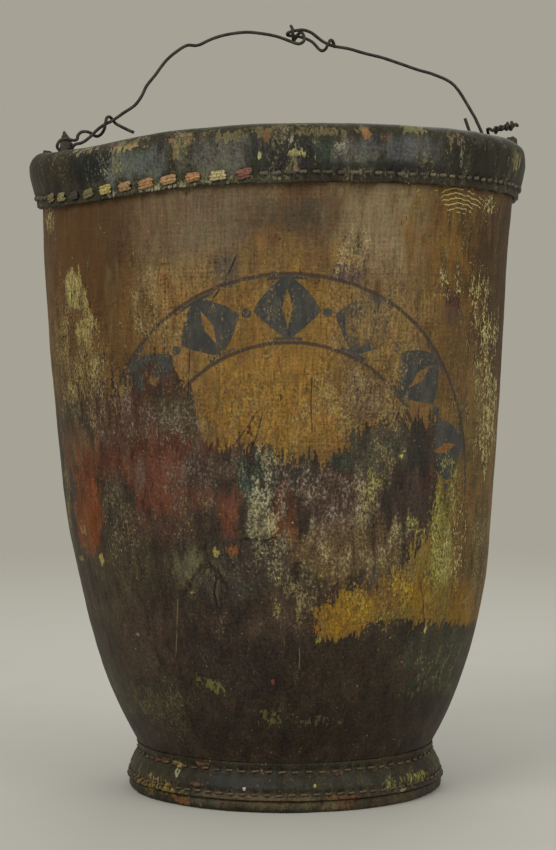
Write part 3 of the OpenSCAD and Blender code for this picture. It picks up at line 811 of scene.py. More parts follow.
@dataclass(frozen=True)
class WallPaint(OldPaint):
    """The wall's worn brown and ochre coat on a dark ground.

    A ring of two thin lines with a plain lozenge pattern is painted on the front.
    """

    ring_s: float = 5.0
    ring_z: float = 143.5
    ring_outer: float = 93.0
    ring_inner: float = 64.0
    lozenges: int = 14
    coat_edge: tuple[Pair, ...] = (
        (-180, 158), (-140, 166), (-105, 150), (-80, 172), (-66, 180), (-52, 186), (-38, 190),
        (-29, 191), (-20, 188), (-18.5, 166), (-12, 163), (-5, 164), (1, 157.5), (7, 157), (15, 159),
        (18, 168), (24, 171), (31, 173), (37, 175), (41, 172), (45, 120), (52, 90), (76, 78),
        (100, 96), (130, 140), (158, 150), (180, 158))
    softness: tuple[Pair, ...] = (
        (-180, 22), (-90, 26), (-40, 22), (-25, 15), (-18, 7.5), (20, 7.5), (35, 12), (44, 6), (60, 8),
        (120, 18), (180, 22))
    rest: tuple[Pair, ...] = (
        (318, 640), (316, 612), (345, 590), (372, 578), (398, 566), (415, 548), (432, 522), (443, 500),
        (447, 470), (470, 470), (500, 480), (500, 600), (480, 624), (430, 624), (400, 621), (366, 624),
        (360, 635))
    net_levels: tuple = (
        (478, 291, 24, 5, 0.95), (470, 278, 8, 26, 0.5), (484, 284, 6, 20, 0.5),
        (477, 320, 12, 24, 0.5), (490, 350, 10, 40, 0.75), (489, 420, 11, 54, 0.78),
        (446, 288, 12, 10, 0.4), (492, 206, 11, 12, 0.85), (48, 218, 8, 12, 0.7),
        (455, 545, 16, 34, 0.42), (438, 560, 10, 30, 0.4))
    fan_levels: tuple = ((466, 199, 28, 11, 0.95),)
    worn_levels: tuple = (
        (380, 322, 32, 26, 1.0), (356, 300, 16, 12, 0.7), (262, 414, 24, 12, 0.8),
        (226, 360, 8, 12, 0.6), (452, 330, 14, 22, 0.7))
    grooves: tuple = (
        (1.0, ((206, 545), (205, 562), (196, 573), (186, 594))), (0.8, ((205, 562), (204, 574))),
        (1.0, ((205, 560), (216, 570), (228, 589))), (0.7, ((216, 570), (214, 592), (217, 606))),
        (0.8, ((244, 539), (262, 540), (276, 538))), (0.9, ((206, 552), (207, 560))),
        (0.5, ((419, 574), (423, 600), (424, 624))), (0.5, ((214, 298), (226, 280), (236, 256))),
        (0.4, ((262, 415), (258, 432), (252, 448))), (0.4, ((235, 445), (246, 428), (257, 412))),
        (0.3, ((312, 378), (311, 404), (312, 430))), (0.3, ((190, 352), (189, 374), (188, 398))),
        (0.3, ((263, 539), (270, 539), (277, 540))))
    scratches: tuple = (
        (0.3, ((178, 600), (177, 630), (176, 656))), (0.5, ((429, 602), (440, 586), (447, 560))),
        (0.25, ((299, 648), (300, 658), (299, 668))), (0.4, ((94, 604), (97, 610), (99, 618))))

    def bases(self, canvas: Canvas, cloud: Points, small: Points, away: Points) -> tuple:
        """Coat, ground, cover, flecks and chips before the patches."""
        z, angle = canvas.z, np.degrees(canvas.phi)
        coat, ground = self.mixed(rise(z + 25.0 * cloud, 170.0, 275.0))
        red = (rise(cloud, 0.05, 0.5) * away * rise(z, 90.0, 130.0))[:, None]
        ground = over(ground, np.array(paint("53342a")), red)
        soft = np.interp(angle, *np.array(self.softness, float).T)
        above = (z - np.interp(angle, *np.array(self.coat_edge, float).T)) / soft
        above += 1.4 * cloud * away
        rest = canvas.inside(self.rest) / (3.5 + 7.0 * rise(z, 88.0, 106.0))
        above = np.minimum(np.maximum(above, rest), (z - 62.0) / 6.0)
        flecks = 0.24 + 0.25 * rise(small, 0.0, 0.6) * away + 0.08 * rise(small, -0.2, 0.5)
        flecks *= 1.0 - 0.5 * (1.0 - rise(z, 40.0, 110.0))
        chips = 0.12 + 0.3 * away * rise(small, -0.1, 0.5)
        return (coat * (1.0 + 0.25 * small * away)[:, None],
                ground * (1.0 + 0.35 * small * away)[:, None],
                np.clip(0.5 + 0.5 * above, 0.0, 1.0), flecks, chips)

    def lay(self, mesh: Mesh, points: Points, shell: Shell, shown: Points | float = 1.0) -> Canvas:
        """Store the paint's fields, and those of the ring, the nets and the strokes."""
        canvas = super().lay(mesh, points, shell, shown)
        sides = rise(np.abs(canvas.phi), math.radians(75.0), math.radians(100.0))
        sides *= rise(swell(points * (1.0, 1.0, 0.5), 34.0, 2, 23.0), 0.12, 0.5)
        nets = canvas.levels(0.6 * sides * rise(canvas.z, 170.0, 240.0), self.net_levels)
        none = np.zeros_like(nets)
        put_field(mesh, "skin", np.stack([canvas.s, canvas.z, none], 1))
        fans, worn = (canvas.levels(none, rows) for rows in (self.fan_levels, self.worn_levels))
        put_field(mesh, "nets", np.stack([nets, fans, worn], 1))
        put_field(mesh, "stroke", canvas.lines(self.grooves, self.scratches))
        return canvas

    def ring(self, g: Graph, s: Value, z: Value, rag: Value) -> tuple[Value, Value]:
        """Shares of the ring's thin lines and of its dark shapes.

        Args:
            g: The material's tree.
            s: Length round the wall.
            z: Height.
            rag: Noise that wears the paint's edges.

        Returns:
            Two numbers from 0 to 1.
        """
        x, y = s - self.ring_s, z - self.ring_z
        middle = (self.ring_outer + self.ring_inner) / 2.0
        away = g.math("SQRT", x * x + y * y)
        lines = [abs(away - r + (rag - 0.5) * 1.2).fall(w, w + 0.5)
                 for r, w in ((self.ring_outer, 0.6), (self.ring_inner, 0.55))]
        step = 2.0 * math.pi / self.lozenges
        turn = g.math("ARCTAN2", x, y) / step + (self.lozenges + 0.5)
        across = (g.math("FRACT", turn) - 0.5) * step * middle
        up = away - middle
        soft = (rag - 0.5) * 0.14
        lozenge = ((abs(across) / 14.4) ** 1.2 + (abs(up) / 13.6) ** 1.2 + soft).fall(0.98, 1.02)
        slit = (abs(across) / 2.2 + abs(up) / 8.0 + soft).fall(0.95, 1.08)
        cap = abs(abs(up) - 12.9 + soft * 4.0).fall(0.5, 0.8) * abs(across).fall(7.0, 7.8)
        side = abs(across) - step * middle / 2.0
        dot = (g.math("SQRT", side * side + up * up) + soft * 8.0).fall(1.8, 2.2)
        fading = y.rise(-12.0, 4.0)
        return lines[0].top(lines[1]) * fading, (lozenge - slit).top(dot).top(cap) * fading

    def marked(self, g: Graph, coat: Value, rag: Value, fine: Value) -> Value:
        """The coat with the ring painted on it."""
        s, z, _ = g.split(g.attribute("skin", "Vector"))
        lines, shapes = self.ring(g, s, z, rag)
        worn = g.split(g.attribute("nets", "Vector"))[2]
        held = 1.0 - (fine + rag * 0.4).rise(0.76, 0.9) * 0.45
        gone = 1.0 - worn * (0.35 + (fine + rag * 0.5).rise(0.66, 0.76) * 0.65)
        coat = g.blend(lines * (0.5 + 0.5 * held) * 0.86, coat, paint("392f29"))
        slate = g.blend(rag.rise(0.4, 0.6), paint("313433"), paint("3f403d"))
        return g.blend(shapes * held * gone * 0.95, coat, slate)

    def skin(self, g: Graph) -> Skin:
        """The worn paint with a net of flaking paint, grooves and scratches on it."""
        worn = self.worn(g)
        rag, fine, drift, colour = worn.rag, worn.fine, worn.drift, worn.colour
        nets, fans, _ = g.split(g.attribute("nets", "Vector"))
        crack = g.crazing(g.bent(g.object_mm(), 2.4, 6.5, 0.46), 3.8)
        broken = (nets + (rag - 0.5) * 2.4 + (fine - 0.5) * 2.2).rise(0.5, 0.66)
        net = crack.fall(0.03, 0.13) * broken * nets.rise(0.02, 0.2)
        s, z, _ = g.split(g.attribute("skin", "Vector"))
        arc = (s - 90.0) * (s - 90.0) * 0.012 + (drift - 0.5) * 3.5
        rib = abs(g.math("FRACT", (z + arc) / 2.1) - 0.5)
        fan = rib.fall(0.06, 0.17) * (fans + (rag - 0.5) * 1.8 + (fine - 0.5) * 1.6).rise(0.48, 0.62)
        net = net.top(fan * fans.rise(0.05, 0.3))
        colour = g.blend(net * 0.92, colour, g.shaded(paint("b5a76c"), 0.5 + fine))

        across, held, kind = g.split(g.attribute("stroke", "Vector"))
        line = abs(across + (drift - 0.5) * 3.0) + (fine - 0.5) * 1.6
        stroke = line.fall(0.4, 1.1) * held * (rag + 0.3).rise(0.6, 0.8)
        groove, scratch = stroke * kind.fall(0.2, 0.5), stroke * kind.rise(0.5, 0.8)
        # Painted highlight: a lighter line along one side of each groove.
        lit = (abs(across + (drift - 0.5) * 3.0 + 1.8) + (fine - 0.5)).fall(0.4, 1.2)
        lit = lit * held * kind.fall(0.2, 0.5) * rag.rise(0.42, 0.6)
        colour = g.blend(lit * 0.3, colour, paint("756a4e"))
        colour = g.blend(groove * 0.75, colour, paint("1f1812"))
        colour = g.blend(scratch * 0.5, colour, paint("857a58"))
        height = worn.height + net * 0.2 - groove * 0.25 + lit * 0.1
        return Skin(colour, worn.rough + 0.1 * net, height, 0.0, self.sheen)


WALL_PAINT = WallPaint("wall leather", Patches(
    coat=("6a502b", "57412a"), ground=("352c25", "43332a"), fleck="7d6f4c",
    coats=(
        (275, 215, 260, 40, "59452e", 0.8), (80, 270, 42, 90, "54391c", 0.95),
        (120, 240, 30, 60, "4c3823", 0.8), (200, 225, 62, 46, "655743", 0.95),
        (150, 224, 30, 30, "66503a", 0.7), (180, 290, 54, 36, "74603f", 0.8),
        (128, 318, 12, 44, "5f4220", 0.8), (270, 250, 20, 34, "644a2a", 0.8),
        (305, 215, 40, 14, "463c30", 0.85), (390, 222, 48, 42, "7b6d51", 0.85),
        (395, 266, 44, 36, "7c684a", 0.6), (455, 265, 36, 80, "694c1e", 0.85),
        (500, 300, 26, 140, "42311d", 0.95), (290, 262, 50, 20, "6a5231", 0.7),
        (250, 330, 90, 50, "77592d", 0.9), (310, 330, 60, 55, "7d602f", 0.8),
        (176, 335, 32, 50, "84653a", 0.85), (130, 345, 30, 40, "5b4223", 0.8),
        (390, 330, 44, 42, "80683f", 0.85), (300, 405, 75, 38, "856429", 0.95),
        (250, 400, 36, 30, "88672b", 0.8), (385, 400, 42, 26, "745935", 0.85),
        (352, 392, 10, 46, "665038", 0.6), (366, 402, 18, 22, "6a5a48", 0.7),
        (315, 415, 14, 16, "8d6430", 0.6), (348, 275, 14, 7, "584640", 0.95),
        (226, 270, 10, 15, "4d463d", 0.8), (285, 366, 30, 10, "8a672f", 0.7),
        (455, 360, 20, 50, "604a2b", 0.8), (452, 314, 10, 12, "4f3a30", 0.8),
        (450, 445, 12, 10, "7a4a28", 0.9), (474, 472, 8, 12, "6a3f22", 0.8),
        (478, 440, 26, 60, "5a4a2c", 0.8), (350, 615, 34, 20, "8c6b1d", 0.95),
        (416, 592, 22, 32, "85651b", 0.95), (442, 556, 11, 64, "746a28", 0.75),
        (420, 560, 20, 26, "75622a", 0.8), (448, 556, 3.5, 32, "8f8650", 0.7),
        (478, 550, 18, 60, "4f4022", 0.9), (395, 618, 26, 12, "6b5f30", 0.7),
        (60, 400, 26, 40, "5c462b", 0.8), (462, 608, 14, 24, "7c5d18", 0.85)),
    grounds=(
        (150, 440, 74, 56, "4c2c1f", 1.0), (165, 412, 26, 18, "3f382a", 0.9),
        (196, 418, 20, 26, "42382a", 0.8), (120, 425, 30, 26, "4a342a", 0.8),
        (76, 448, 18, 24, "5a422c", 0.9), (86, 505, 16, 54, "5c321a", 1.0),
        (90, 528, 13, 26, "663612", 0.95), (118, 500, 15, 24, "3d342a", 0.9),
        (160, 486, 30, 38, "5c372a", 0.95), (141, 474, 8, 14, "574840", 0.7),
        (160, 530, 40, 16, "42322a", 0.8), (196, 498, 18, 14, "4f342b", 0.8),
        (229, 512, 14, 28, "59372a", 1.0), (214, 470, 34, 18, "3c332e", 0.8),
        (260, 472, 16, 20, "2f3630", 0.95), (253, 492, 8, 12, "31403a", 0.9),
        (260, 524, 14, 16, "4a473a", 0.9), (300, 470, 26, 22, "37322d", 0.8),
        (284, 526, 12, 30, "553322", 0.9), (291, 545, 7, 14, "6a381d", 0.8),
        (320, 445, 34, 18, "333a33", 0.9), (344, 462, 16, 10, "34423a", 0.8),
        (345, 497, 40, 36, "47362e", 0.85), (380, 448, 36, 22, "403c34", 0.95),
        (420, 456, 13, 32, "2f2b28", 1.0), (430, 486, 9, 24, "3a2723", 0.9),
        (440, 440, 5, 16, "5a2c22", 0.8), (408, 515, 22, 40, "3c312c", 0.95),
        (350, 550, 54, 28, "5b4933", 0.9), (376, 578, 14, 10, "554b44", 0.7),
        (245, 565, 40, 26, "3b3430", 0.8), (190, 566, 15, 20, "55523f", 1.0),
        (228, 590, 30, 14, "37352f", 0.9), (120, 590, 40, 40, "403629", 0.9),
        (160, 640, 60, 40, "41342b", 0.8), (250, 660, 70, 50, "2f2622", 0.9),
        (300, 610, 40, 26, "41342b", 0.7), (350, 680, 60, 40, "30271f", 0.9),
        (440, 660, 36, 36, "36372a", 0.8), (115, 690, 20, 26, "3a3628", 0.8),
        # The two darkest grounds here, just above the foot, are partly grime and partly painted shade.
        (170, 712, 26, 26, "393425", 0.8), (300, 730, 120, 26, "29231c", 0.8),
        (400, 720, 50, 30, "2c251c", 0.8)),
    flecks=(
        (278, 300, 260, 120, "85744e", 1.0), (72, 330, 26, 90, "93834f", 0.95),
        (357, 252, 16, 24, "a2986e", 0.9), (484, 340, 30, 120, "9c8f5c", 0.9),
        (262, 505, 18, 48, "968f72", 1.0), (330, 535, 14, 30, "a39c55", 0.9),
        (372, 495, 18, 50, "938a4c", 0.9), (150, 450, 60, 60, "75695a", 0.9),
        (330, 540, 70, 40, "958a62", 0.9), (385, 600, 76, 26, "a8943a", 0.95),
        (445, 520, 30, 70, "8f8b4a", 0.95), (90, 560, 24, 20, "94834a", 0.9),
        (320, 490, 34, 40, "8d7f6e", 0.9), (330, 420, 60, 40, "8b7747", 0.8),
        (160, 700, 60, 60, "5f5a3f", 0.9), (300, 665, 60, 40, "6a5d48", 0.9)),
    marks=(
        (73, 290, 5, 13, "a8a064", 0.62), (90, 483, 4.5, 3.4, "c67a2c", 0.95),
        (91, 486, 9, 7, "744020", 0.7), (69, 508, 4, 24, "74663a", 0.56),
        (83, 530, 4, 4, "86684a", 0.64), (101, 561, 4, 7, "958648", 0.72),
        (82, 559, 4, 4, "86794a", 0.62), (233, 550, 10, 5, "6e4528", 0.55),
        (216, 552, 3, 4, "857c40", 0.6), (306, 536, 6, 4, "7a3020", 0.56),
        (403, 456, 3.5, 3.5, "b0a85c", 0.8), (397, 467, 2, 2, "a8a08c", 0.75),
        (402, 492, 2.4, 2, "9a948a", 0.75), (272, 682, 2.5, 2, "7a3a2c", 0.9),
        (215, 684, 15, 8, "5d5c34", 0.48), (270, 716, 16, 9, "565334", 0.44),
        (325, 722, 28, 6, "4c4932", 0.42), (168, 702, 4, 6, "6b6850", 0.5),
        (442, 668, 26, 26, "4f5136", 0.4), (135, 700, 26, 20, "514c34", 0.38),
        (452, 300, 6, 8, "4a2f2a", 0.7), (318, 640, 4, 3, "80793a", 0.5),
        (425, 631, 2.4, 3.4, "a39c68", 0.7), (137, 635, 2, 2, "8a7f58", 0.8)),
    fleck_levels=(
        (275, 215, 240, 26, 0.2), (85, 250, 40, 56, 0.06), (74, 296, 11, 26, 0.85),
        (84, 335, 13, 34, 0.8), (92, 368, 14, 26, 0.78), (62, 350, 12, 40, 0.6),
        (62, 392, 18, 26, 0.45), (48, 222, 7, 12, 0.6), (158, 302, 28, 34, 0.66),
        (205, 285, 36, 24, 0.42), (262, 300, 30, 18, 0.34), (357, 252, 13, 22, 0.62),
        (346, 320, 26, 30, 0.46), (400, 330, 44, 44, 0.42), (300, 410, 70, 40, 0.42),
        (365, 400, 40, 32, 0.62), (430, 236, 8, 4, 0.4), (452, 292, 14, 14, 0.42),
        (484, 300, 14, 60, 0.34), (482, 400, 14, 60, 0.5), (150, 425, 60, 22, 0.52),
        (100, 400, 34, 30, 0.6), (170, 500, 50, 50, 0.3), (225, 470, 36, 16, 0.42),
        (260, 470, 14, 18, 0.62), (261, 526, 14, 16, 0.9), (262, 498, 12, 22, 0.72),
        (300, 470, 26, 18, 0.55), (335, 500, 34, 34, 0.56), (370, 495, 17, 46, 0.68),
        (390, 450, 32, 20, 0.5), (420, 470, 16, 44, 0.1), (360, 545, 50, 34, 0.66),
        (330, 535, 13, 30, 0.75), (306, 588, 26, 36, 0.62), (346, 600, 30, 24, 0.42),
        (400, 575, 24, 26, 0.6), (440, 530, 12, 40, 0.7), (452, 490, 10, 40, 0.6),
        (482, 560, 16, 50, 0.5), (118, 520, 18, 36, 0.45), (66, 500, 8, 34, 0.5),
        (200, 580, 20, 20, 0.4), (265, 560, 34, 18, 0.5), (300, 664, 6, 12, 0.5),
        (420, 661, 6, 3, 0.7), (170, 710, 30, 30, 0.42), (112, 690, 14, 22, 0.44),
        (448, 660, 26, 30, 0.3)),
    chip_levels=(
        (290, 415, 76, 30, 0.6), (85, 365, 30, 60, 0.5), (445, 585, 34, 34, 0.6),
        (455, 520, 22, 40, 0.55), (260, 320, 120, 46, 0.44), (400, 320, 50, 50, 0.56),
        (360, 400, 60, 46, 0.68), (280, 405, 80, 44, 0.56), (230, 425, 30, 22, 0.6),
        (355, 276, 22, 12, 0.6), (420, 590, 60, 36, 0.62), (350, 600, 44, 40, 0.7),
        (455, 520, 24, 60, 0.56), (455, 370, 24, 60, 0.5), (80, 380, 44, 44, 0.6),
        (130, 375, 40, 26, 0.55), (470, 325, 14, 20, 0.5))), 0.16)


@dataclass(frozen=True)
class Thread(Finish):
    """Old waxed thread, coloured stitch by stitch."""

    title: str = "thread"

    def skin(self, g: Graph) -> Skin:
        """The stitch's own tone with dirt in its hollows."""
        place = g.object_mm()
        fine = g.noise(place, 0.7, 3.0, 0.6)
        tone = g.attribute("tone")
        colour = g.blend(fine.rise(0.42, 0.62) * 0.7, tone, paint("3a3024"))
        return Skin(colour, 0.65, fine * 0.2)


@dataclass(frozen=True)
class Hemp(Finish):
    """Hemp rope inside the rim."""

    title: str = "hemp rope"

    def skin(self, g: Graph) -> Skin:
        """Pale fibres."""
        fine = g.noise(g.object_mm(), 0.8, 4.0, 0.6)
        colour = g.blend(fine.rise(0.35, 0.7), paint("6a5939"), paint("9c875b"))
        return Skin(colour, 0.85, fine * 0.3)


@dataclass(frozen=True)
class Iron(Finish):
    """Old iron wire, brown with rust."""

    title: str = "iron wire"

    def skin(self, g: Graph) -> Skin:
        """Dark iron with rust in patches."""
        place = g.object_mm()
        cloud = g.noise(place, 3.0, 4.0, 0.6)
        fine = g.noise(place, 0.5, 3.0, 0.6)
        colour = g.blend(cloud.rise(0.42, 0.66), paint("2c2a23"), paint("3d3326"))
        colour = g.blend(fine.rise(0.55, 0.75) * 0.4, colour, paint("5a5342"))
        return Skin(colour, 0.55 + 0.2 * cloud, fine * 0.12, (1.0 - cloud.rise(0.35, 0.6)) * 0.4)


@dataclass(frozen=True)
class PaleFloor(Finish):
    """Plain pale floor that runs into the backdrop's colour between two distances."""

    title: str
    back: str
    fade: Pair = (260.0, 1500.0)

    def skin(self, g: Graph) -> Skin:
        """One pale tone with a trace of grain."""
        fine = g.noise(g.object_mm(), 40.0, 3.0, 0.5)
        return Skin(g.blend(fine, paint("b4b2a6"), paint("b8b6aa")), 0.9, None, 0.0, 0.15)

    def material(self) -> Material:
        """The floor's material, with the backdrop's colour mixed in by distance."""
        material = super().material()
        g = Graph(material.node_tree, False)
        near = next(n for n in g.tree.nodes if n.type == "BSDF_PRINCIPLED")
        out = next(n for n in g.tree.nodes if n.type == "OUTPUT_MATERIAL")
        x, y, _ = g.split(g.object_mm())
        seen = g.add("ShaderNodeLightPath", None, None, "Is Camera Ray")
        far = g.math("SQRT", x * x + y * y).rise(*self.fade) * seen
        glow = g.add("ShaderNodeEmission", None, {"Color": paint(self.back), "Strength": 1.0})
        mixed = g.add("ShaderNodeMixShader", None,
                      {0: far, 1: Value(g, near.outputs[0]), 2: glow})
        g.tree.links.new(mixed.socket, out.inputs[0])
        return material


# Meshes


def vectors(items: bpy.types.bpy_prop_collection, key: str) -> Points:
    """One vector of each of a mesh's points or faces, one in each row."""
    flat = np.empty(len(items) * 3, np.float32)
    items.foreach_get(key, flat)
    return flat.reshape(-1, 3).astype(float)


def points_of(mesh: Mesh) -> Points:
    """Points of a mesh in millimetres."""
    return vectors(mesh.vertices, "co") / MM


def put_points(mesh: Mesh, points: Points) -> None:
    """Move a mesh's points to places in millimetres."""
    mesh.vertices.foreach_set("co", (points * MM).astype(np.float32).ravel())
    mesh.update()


def put_field(mesh: Mesh, name: str, values: Points) -> None:
    """Store vectors or colours on a mesh's points.

    Args:
        mesh: The mesh.
        name: Name of the attribute.
        values: Three or four numbers for each point.
    """
    kind, key = (("FLOAT_VECTOR", "vector"), ("FLOAT_COLOR", "color"))[values.shape[1] - 3]
    layer = mesh.attributes.new(name, kind, "POINT")
    layer.data.foreach_set(key, values.astype(np.float32).ravel())


def placed(name: str, data: bpy.types.ID) -> Object:
    """A new object of some data, linked to the scene."""
    thing = bpy.data.objects.new(name, data)
    bpy.context.scene.collection.objects.link(thing)
    return thing


def worked(maker: Object) -> Mesh:
    """The mesh that an object's modifiers make; the object goes."""
    graph = bpy.context.evaluated_depsgraph_get()
    mesh = bpy.data.meshes.new_from_object(maker.evaluated_get(graph))
    bpy.data.objects.remove(maker)
    return mesh


def sketch(points: Points, edges: list[tuple[int, int]]) -> Mesh:
    """A mesh of points in millimetres and of edges between them."""
    mesh = bpy.data.meshes.new("sketch")
    mesh.from_pydata([tuple(MM * float(c) for c in p) for p in points], edges, [])
    return mesh


def chain(points: Points, closed: bool) -> Mesh:
    """A mesh of edges from point to point."""
    count = len(points)
    return sketch(points, [(i, (i + 1) % count) for i in range(count if closed else count - 1)])


def faces_outwards(mesh: Mesh) -> None:
    """Merge doubles and turn all faces outwards."""
    bm = bmesh.new()
    bm.from_mesh(mesh)
    bmesh.ops.remove_doubles(bm, verts=bm.verts, dist=1e-6)
    bmesh.ops.recalc_face_normals(bm, faces=bm.faces)
    bm.to_mesh(mesh)
    bm.free()
    for polygon in mesh.polygons:
        polygon.use_smooth = True


def evenly(corners: list[Pair], step: float) -> list[Pair]:
    """Points at about even steps along an open outline, with its corners kept."""
    out = [corners[0]]
    for a, b in zip(corners, corners[1:]):
        count = max(1, round(math.dist(a, b) / step))
        out += [(a[0] + (b[0] - a[0]) * i / count, a[1] + (b[1] - a[1]) * i / count)
                for i in range(1, count + 1)]
    return out


def bow(centre: Pair, radius: float, start: float, end: float, count: int) -> list[Pair]:
    """Points of an arc, with its angles in degrees."""
    angles = np.radians(np.linspace(start, end, count))
    return [(centre[0] + radius * math.cos(a), centre[1] + radius * math.sin(a)) for a in angles]


class Recipe(Graph):
    """A Geometry Nodes tree with named inputs, which makes a mesh from a source mesh."""

    def __init__(self, name: str) -> None:
        """Make the tree with its source."""
        super().__init__(bpy.data.node_groups.new(name, "GeometryNodeTree"))
        self.keys: dict[str, str] = {}
        self.entry = self.tree.nodes.new("NodeGroupInput")
        self.source = self.take("Source", "NodeSocketGeometry")
        self.build()

    def build(self) -> None:
        """Make the nodes, up to finish."""
        raise NotImplementedError

    def take(self, name: str, kind: str) -> Value:
        """Add a named input to the tree."""
        socket = self.tree.interface.new_socket(name, in_out="INPUT", socket_type=kind)
        self.keys[name] = socket.identifier
        return Value(self, self.entry.outputs[name])

    def finish(self, geometry: Value) -> None:
        """End the tree with real meshes and their material."""
        material = self.take("Material", "NodeSocketMaterial")
        self.tree.interface.new_socket("Mesh", in_out="OUTPUT", socket_type="NodeSocketGeometry")
        smooth = self.add("GeometryNodeSetShadeSmooth", None, {0: geometry})
        real = self.add("GeometryNodeRealizeInstances", None, {0: smooth})
        dressed = self.add("GeometryNodeSetMaterial", None, {0: real, "Material": material})
        self.add("NodeGroupOutput", None, {0: dressed})

    def run(self, source: Mesh, finish: Finish, **values: float) -> Mesh:
        """Make a plain mesh from a source.

        Args:
            source: Mesh that the tree starts from.
            finish: Finish of the new mesh.
            values: Inputs by name, with low lines for spaces.

        Returns:
            The new mesh, with its faces outwards.
        """
        maker = placed("maker", source)
        modifier = maker.modifiers.new("recipe", "NODES")
        modifier.node_group = self.tree
        for name, value in values.items():
            modifier[self.keys[name.replace("_", " ").capitalize()]] = value
        modifier[self.keys["Material"]] = finish.material()
        maker.update_tag()
        mesh = worked(maker)
        bpy.data.meshes.remove(source)
        faces_outwards(mesh)
        return mesh


class Turning(Recipe):
    """Leather turned on the bucket's axis: a section swept round a circle."""

    path: float = 100.0

    def build(self) -> None:
        """Sweep the source's section round the path."""
        sides = self.take("Sides", "NodeSocketInt")
        radius = self.take("Path radius", "NodeSocketFloat")
        path = self.add("GeometryNodeCurvePrimitiveCircle", None,
                        {"Resolution": sides, "Radius": radius})
        section = self.add("GeometryNodeMeshToCurve", None, {0: self.source})
        swept = self.add("GeometryNodeCurveToMesh", None, {"Curve": path, "Profile Curve": section})
        self.finish(swept)

    def turn(self, section: list[Pair], sides: int, finish: Finish, closed: bool = True) -> Mesh:
        """Turn a section.

        Args:
            section: Radius and height of its points in millimetres.
            sides: Number of steps round the axis.
            finish: Finish of the piece.
            closed: False for a section that starts and ends on the axis.

        Returns:
            The turned mesh.
        """
        flat = np.array([(r - self.path, -z, 0.0) for r, z in section])
        return self.run(chain(flat, closed), finish, sides=sides, path_radius=self.path * MM)


class Stitching(Recipe):
    """Stitches on points that carry their aim, their outward side and their colour."""

    def build(self) -> None:
        """Lay one short twisted thread on each point."""
        thread, length, uneven = (self.take(name, "NodeSocketFloat")
                                  for name in ("Thread", "Length", "Uneven"))
        around, along, seed = (self.take(name, "NodeSocketInt")
                               for name in ("Around", "Along", "Seed"))
        ball = self.add("GeometryNodeMeshUVSphere", None,
                        {"Segments": around, "Rings": along, "Radius": 1.0})
        place = self.add("GeometryNodeInputPosition")
        x, y, z = self.split(place)
        turn = self.math("ARCTAN2", y, x) * 2.0 + z * 5.0
        full = self.math("SQRT", 1.0 + z * z) * (1.0 + 0.1 * self.math("COSINE", turn))
        formed = self.add("ShaderNodeCombineXYZ", None, {
            0: x * full * thread * 0.5, 1: y * full * thread * 0.5, 2: z * length * 0.5})
        form = self.add("GeometryNodeSetPosition", None, {0: ball, "Position": formed})
        aim, side = (self.add("GeometryNodeInputNamedAttribute", {"data_type": "FLOAT_VECTOR"},
                              {"Name": name}) for name in ("aim", "side"))
        turn = self.add("FunctionNodeAxesToRotation", {"primary_axis": "Z", "secondary_axis": "X"},
                        {0: aim, 1: side})
        size = self.add("FunctionNodeRandomValue", {"data_type": "FLOAT"},
                        {2: 1.0 - uneven, 3: 1.0 + uneven, "Seed": seed}, 1)
        laid = self.add("GeometryNodeInstanceOnPoints", None,
                        {"Points": self.source, "Instance": form, "Rotation": turn, "Scale": size})
        self.finish(laid)


class Drawing(Recipe):
    """Iron wire drawn along a path."""

    def build(self) -> None:
        """Sweep a round section along the source's path, and roughen it."""
        radius = self.take("Radius", "NodeSocketFloat")
        sides = self.take("Sides", "NodeSocketInt")
        pits = self.take("Pits", "NodeSocketFloat")
        path = self.add("GeometryNodeMeshToCurve", None, {0: self.source})
        section = self.add("GeometryNodeCurvePrimitiveCircle", None,
                           {"Resolution": sides, "Radius": radius})
        swept = self.add("GeometryNodeCurveToMesh", None,
                         {"Curve": path, "Profile Curve": section, "Fill Caps": True})
        place = self.add("GeometryNodeInputPosition")
        rust = self.add("ShaderNodeTexNoise", None,
                        {"Vector": place, "Scale": 1.0 / (2.5 * MM), "Detail": 2.0})
        out = self.add("GeometryNodeInputNormal")
        push = self.add("ShaderNodeVectorMath", {"operation": "SCALE"},
                        {0: out, "Scale": (rust - 0.5) * pits})
        worn = self.add("GeometryNodeSetPosition", None, {0: swept, "Offset": push})
        self.finish(worn)

    def draw(self, path: Points, pits: float) -> Mesh:
        """Draw a wire along a path in millimetres, with rust pits of a depth."""
        return self.run(chain(path, False), Iron(), radius=WIRE_D / 2.0 * MM, sides=12,
                        pits=pits * MM)


TURNING = Turning("Turned leather")
STITCHING = Stitching("Stitching")
DRAWING = Drawing("Drawn wire")


def fit_piece(name: str, mesh: Mesh, body: Body, nodes: tuple[str, ...]) -> Object:
    """Make a finished piece of a mesh and seat it in the frame.

    Args:
        name: Name of the piece.
        mesh: Its mesh, in place and dressed.
        body: Body that it rides on.
        nodes: CAD nodes that it replaces.

    Returns:
        The piece.
    """
    mesh.name = name
    piece = placed(name, mesh)
    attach(piece, body.value)
    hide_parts(*nodes)
    LOG.info("%s: %d faces on %s", name, len(mesh.polygons), body.value)
    return piece


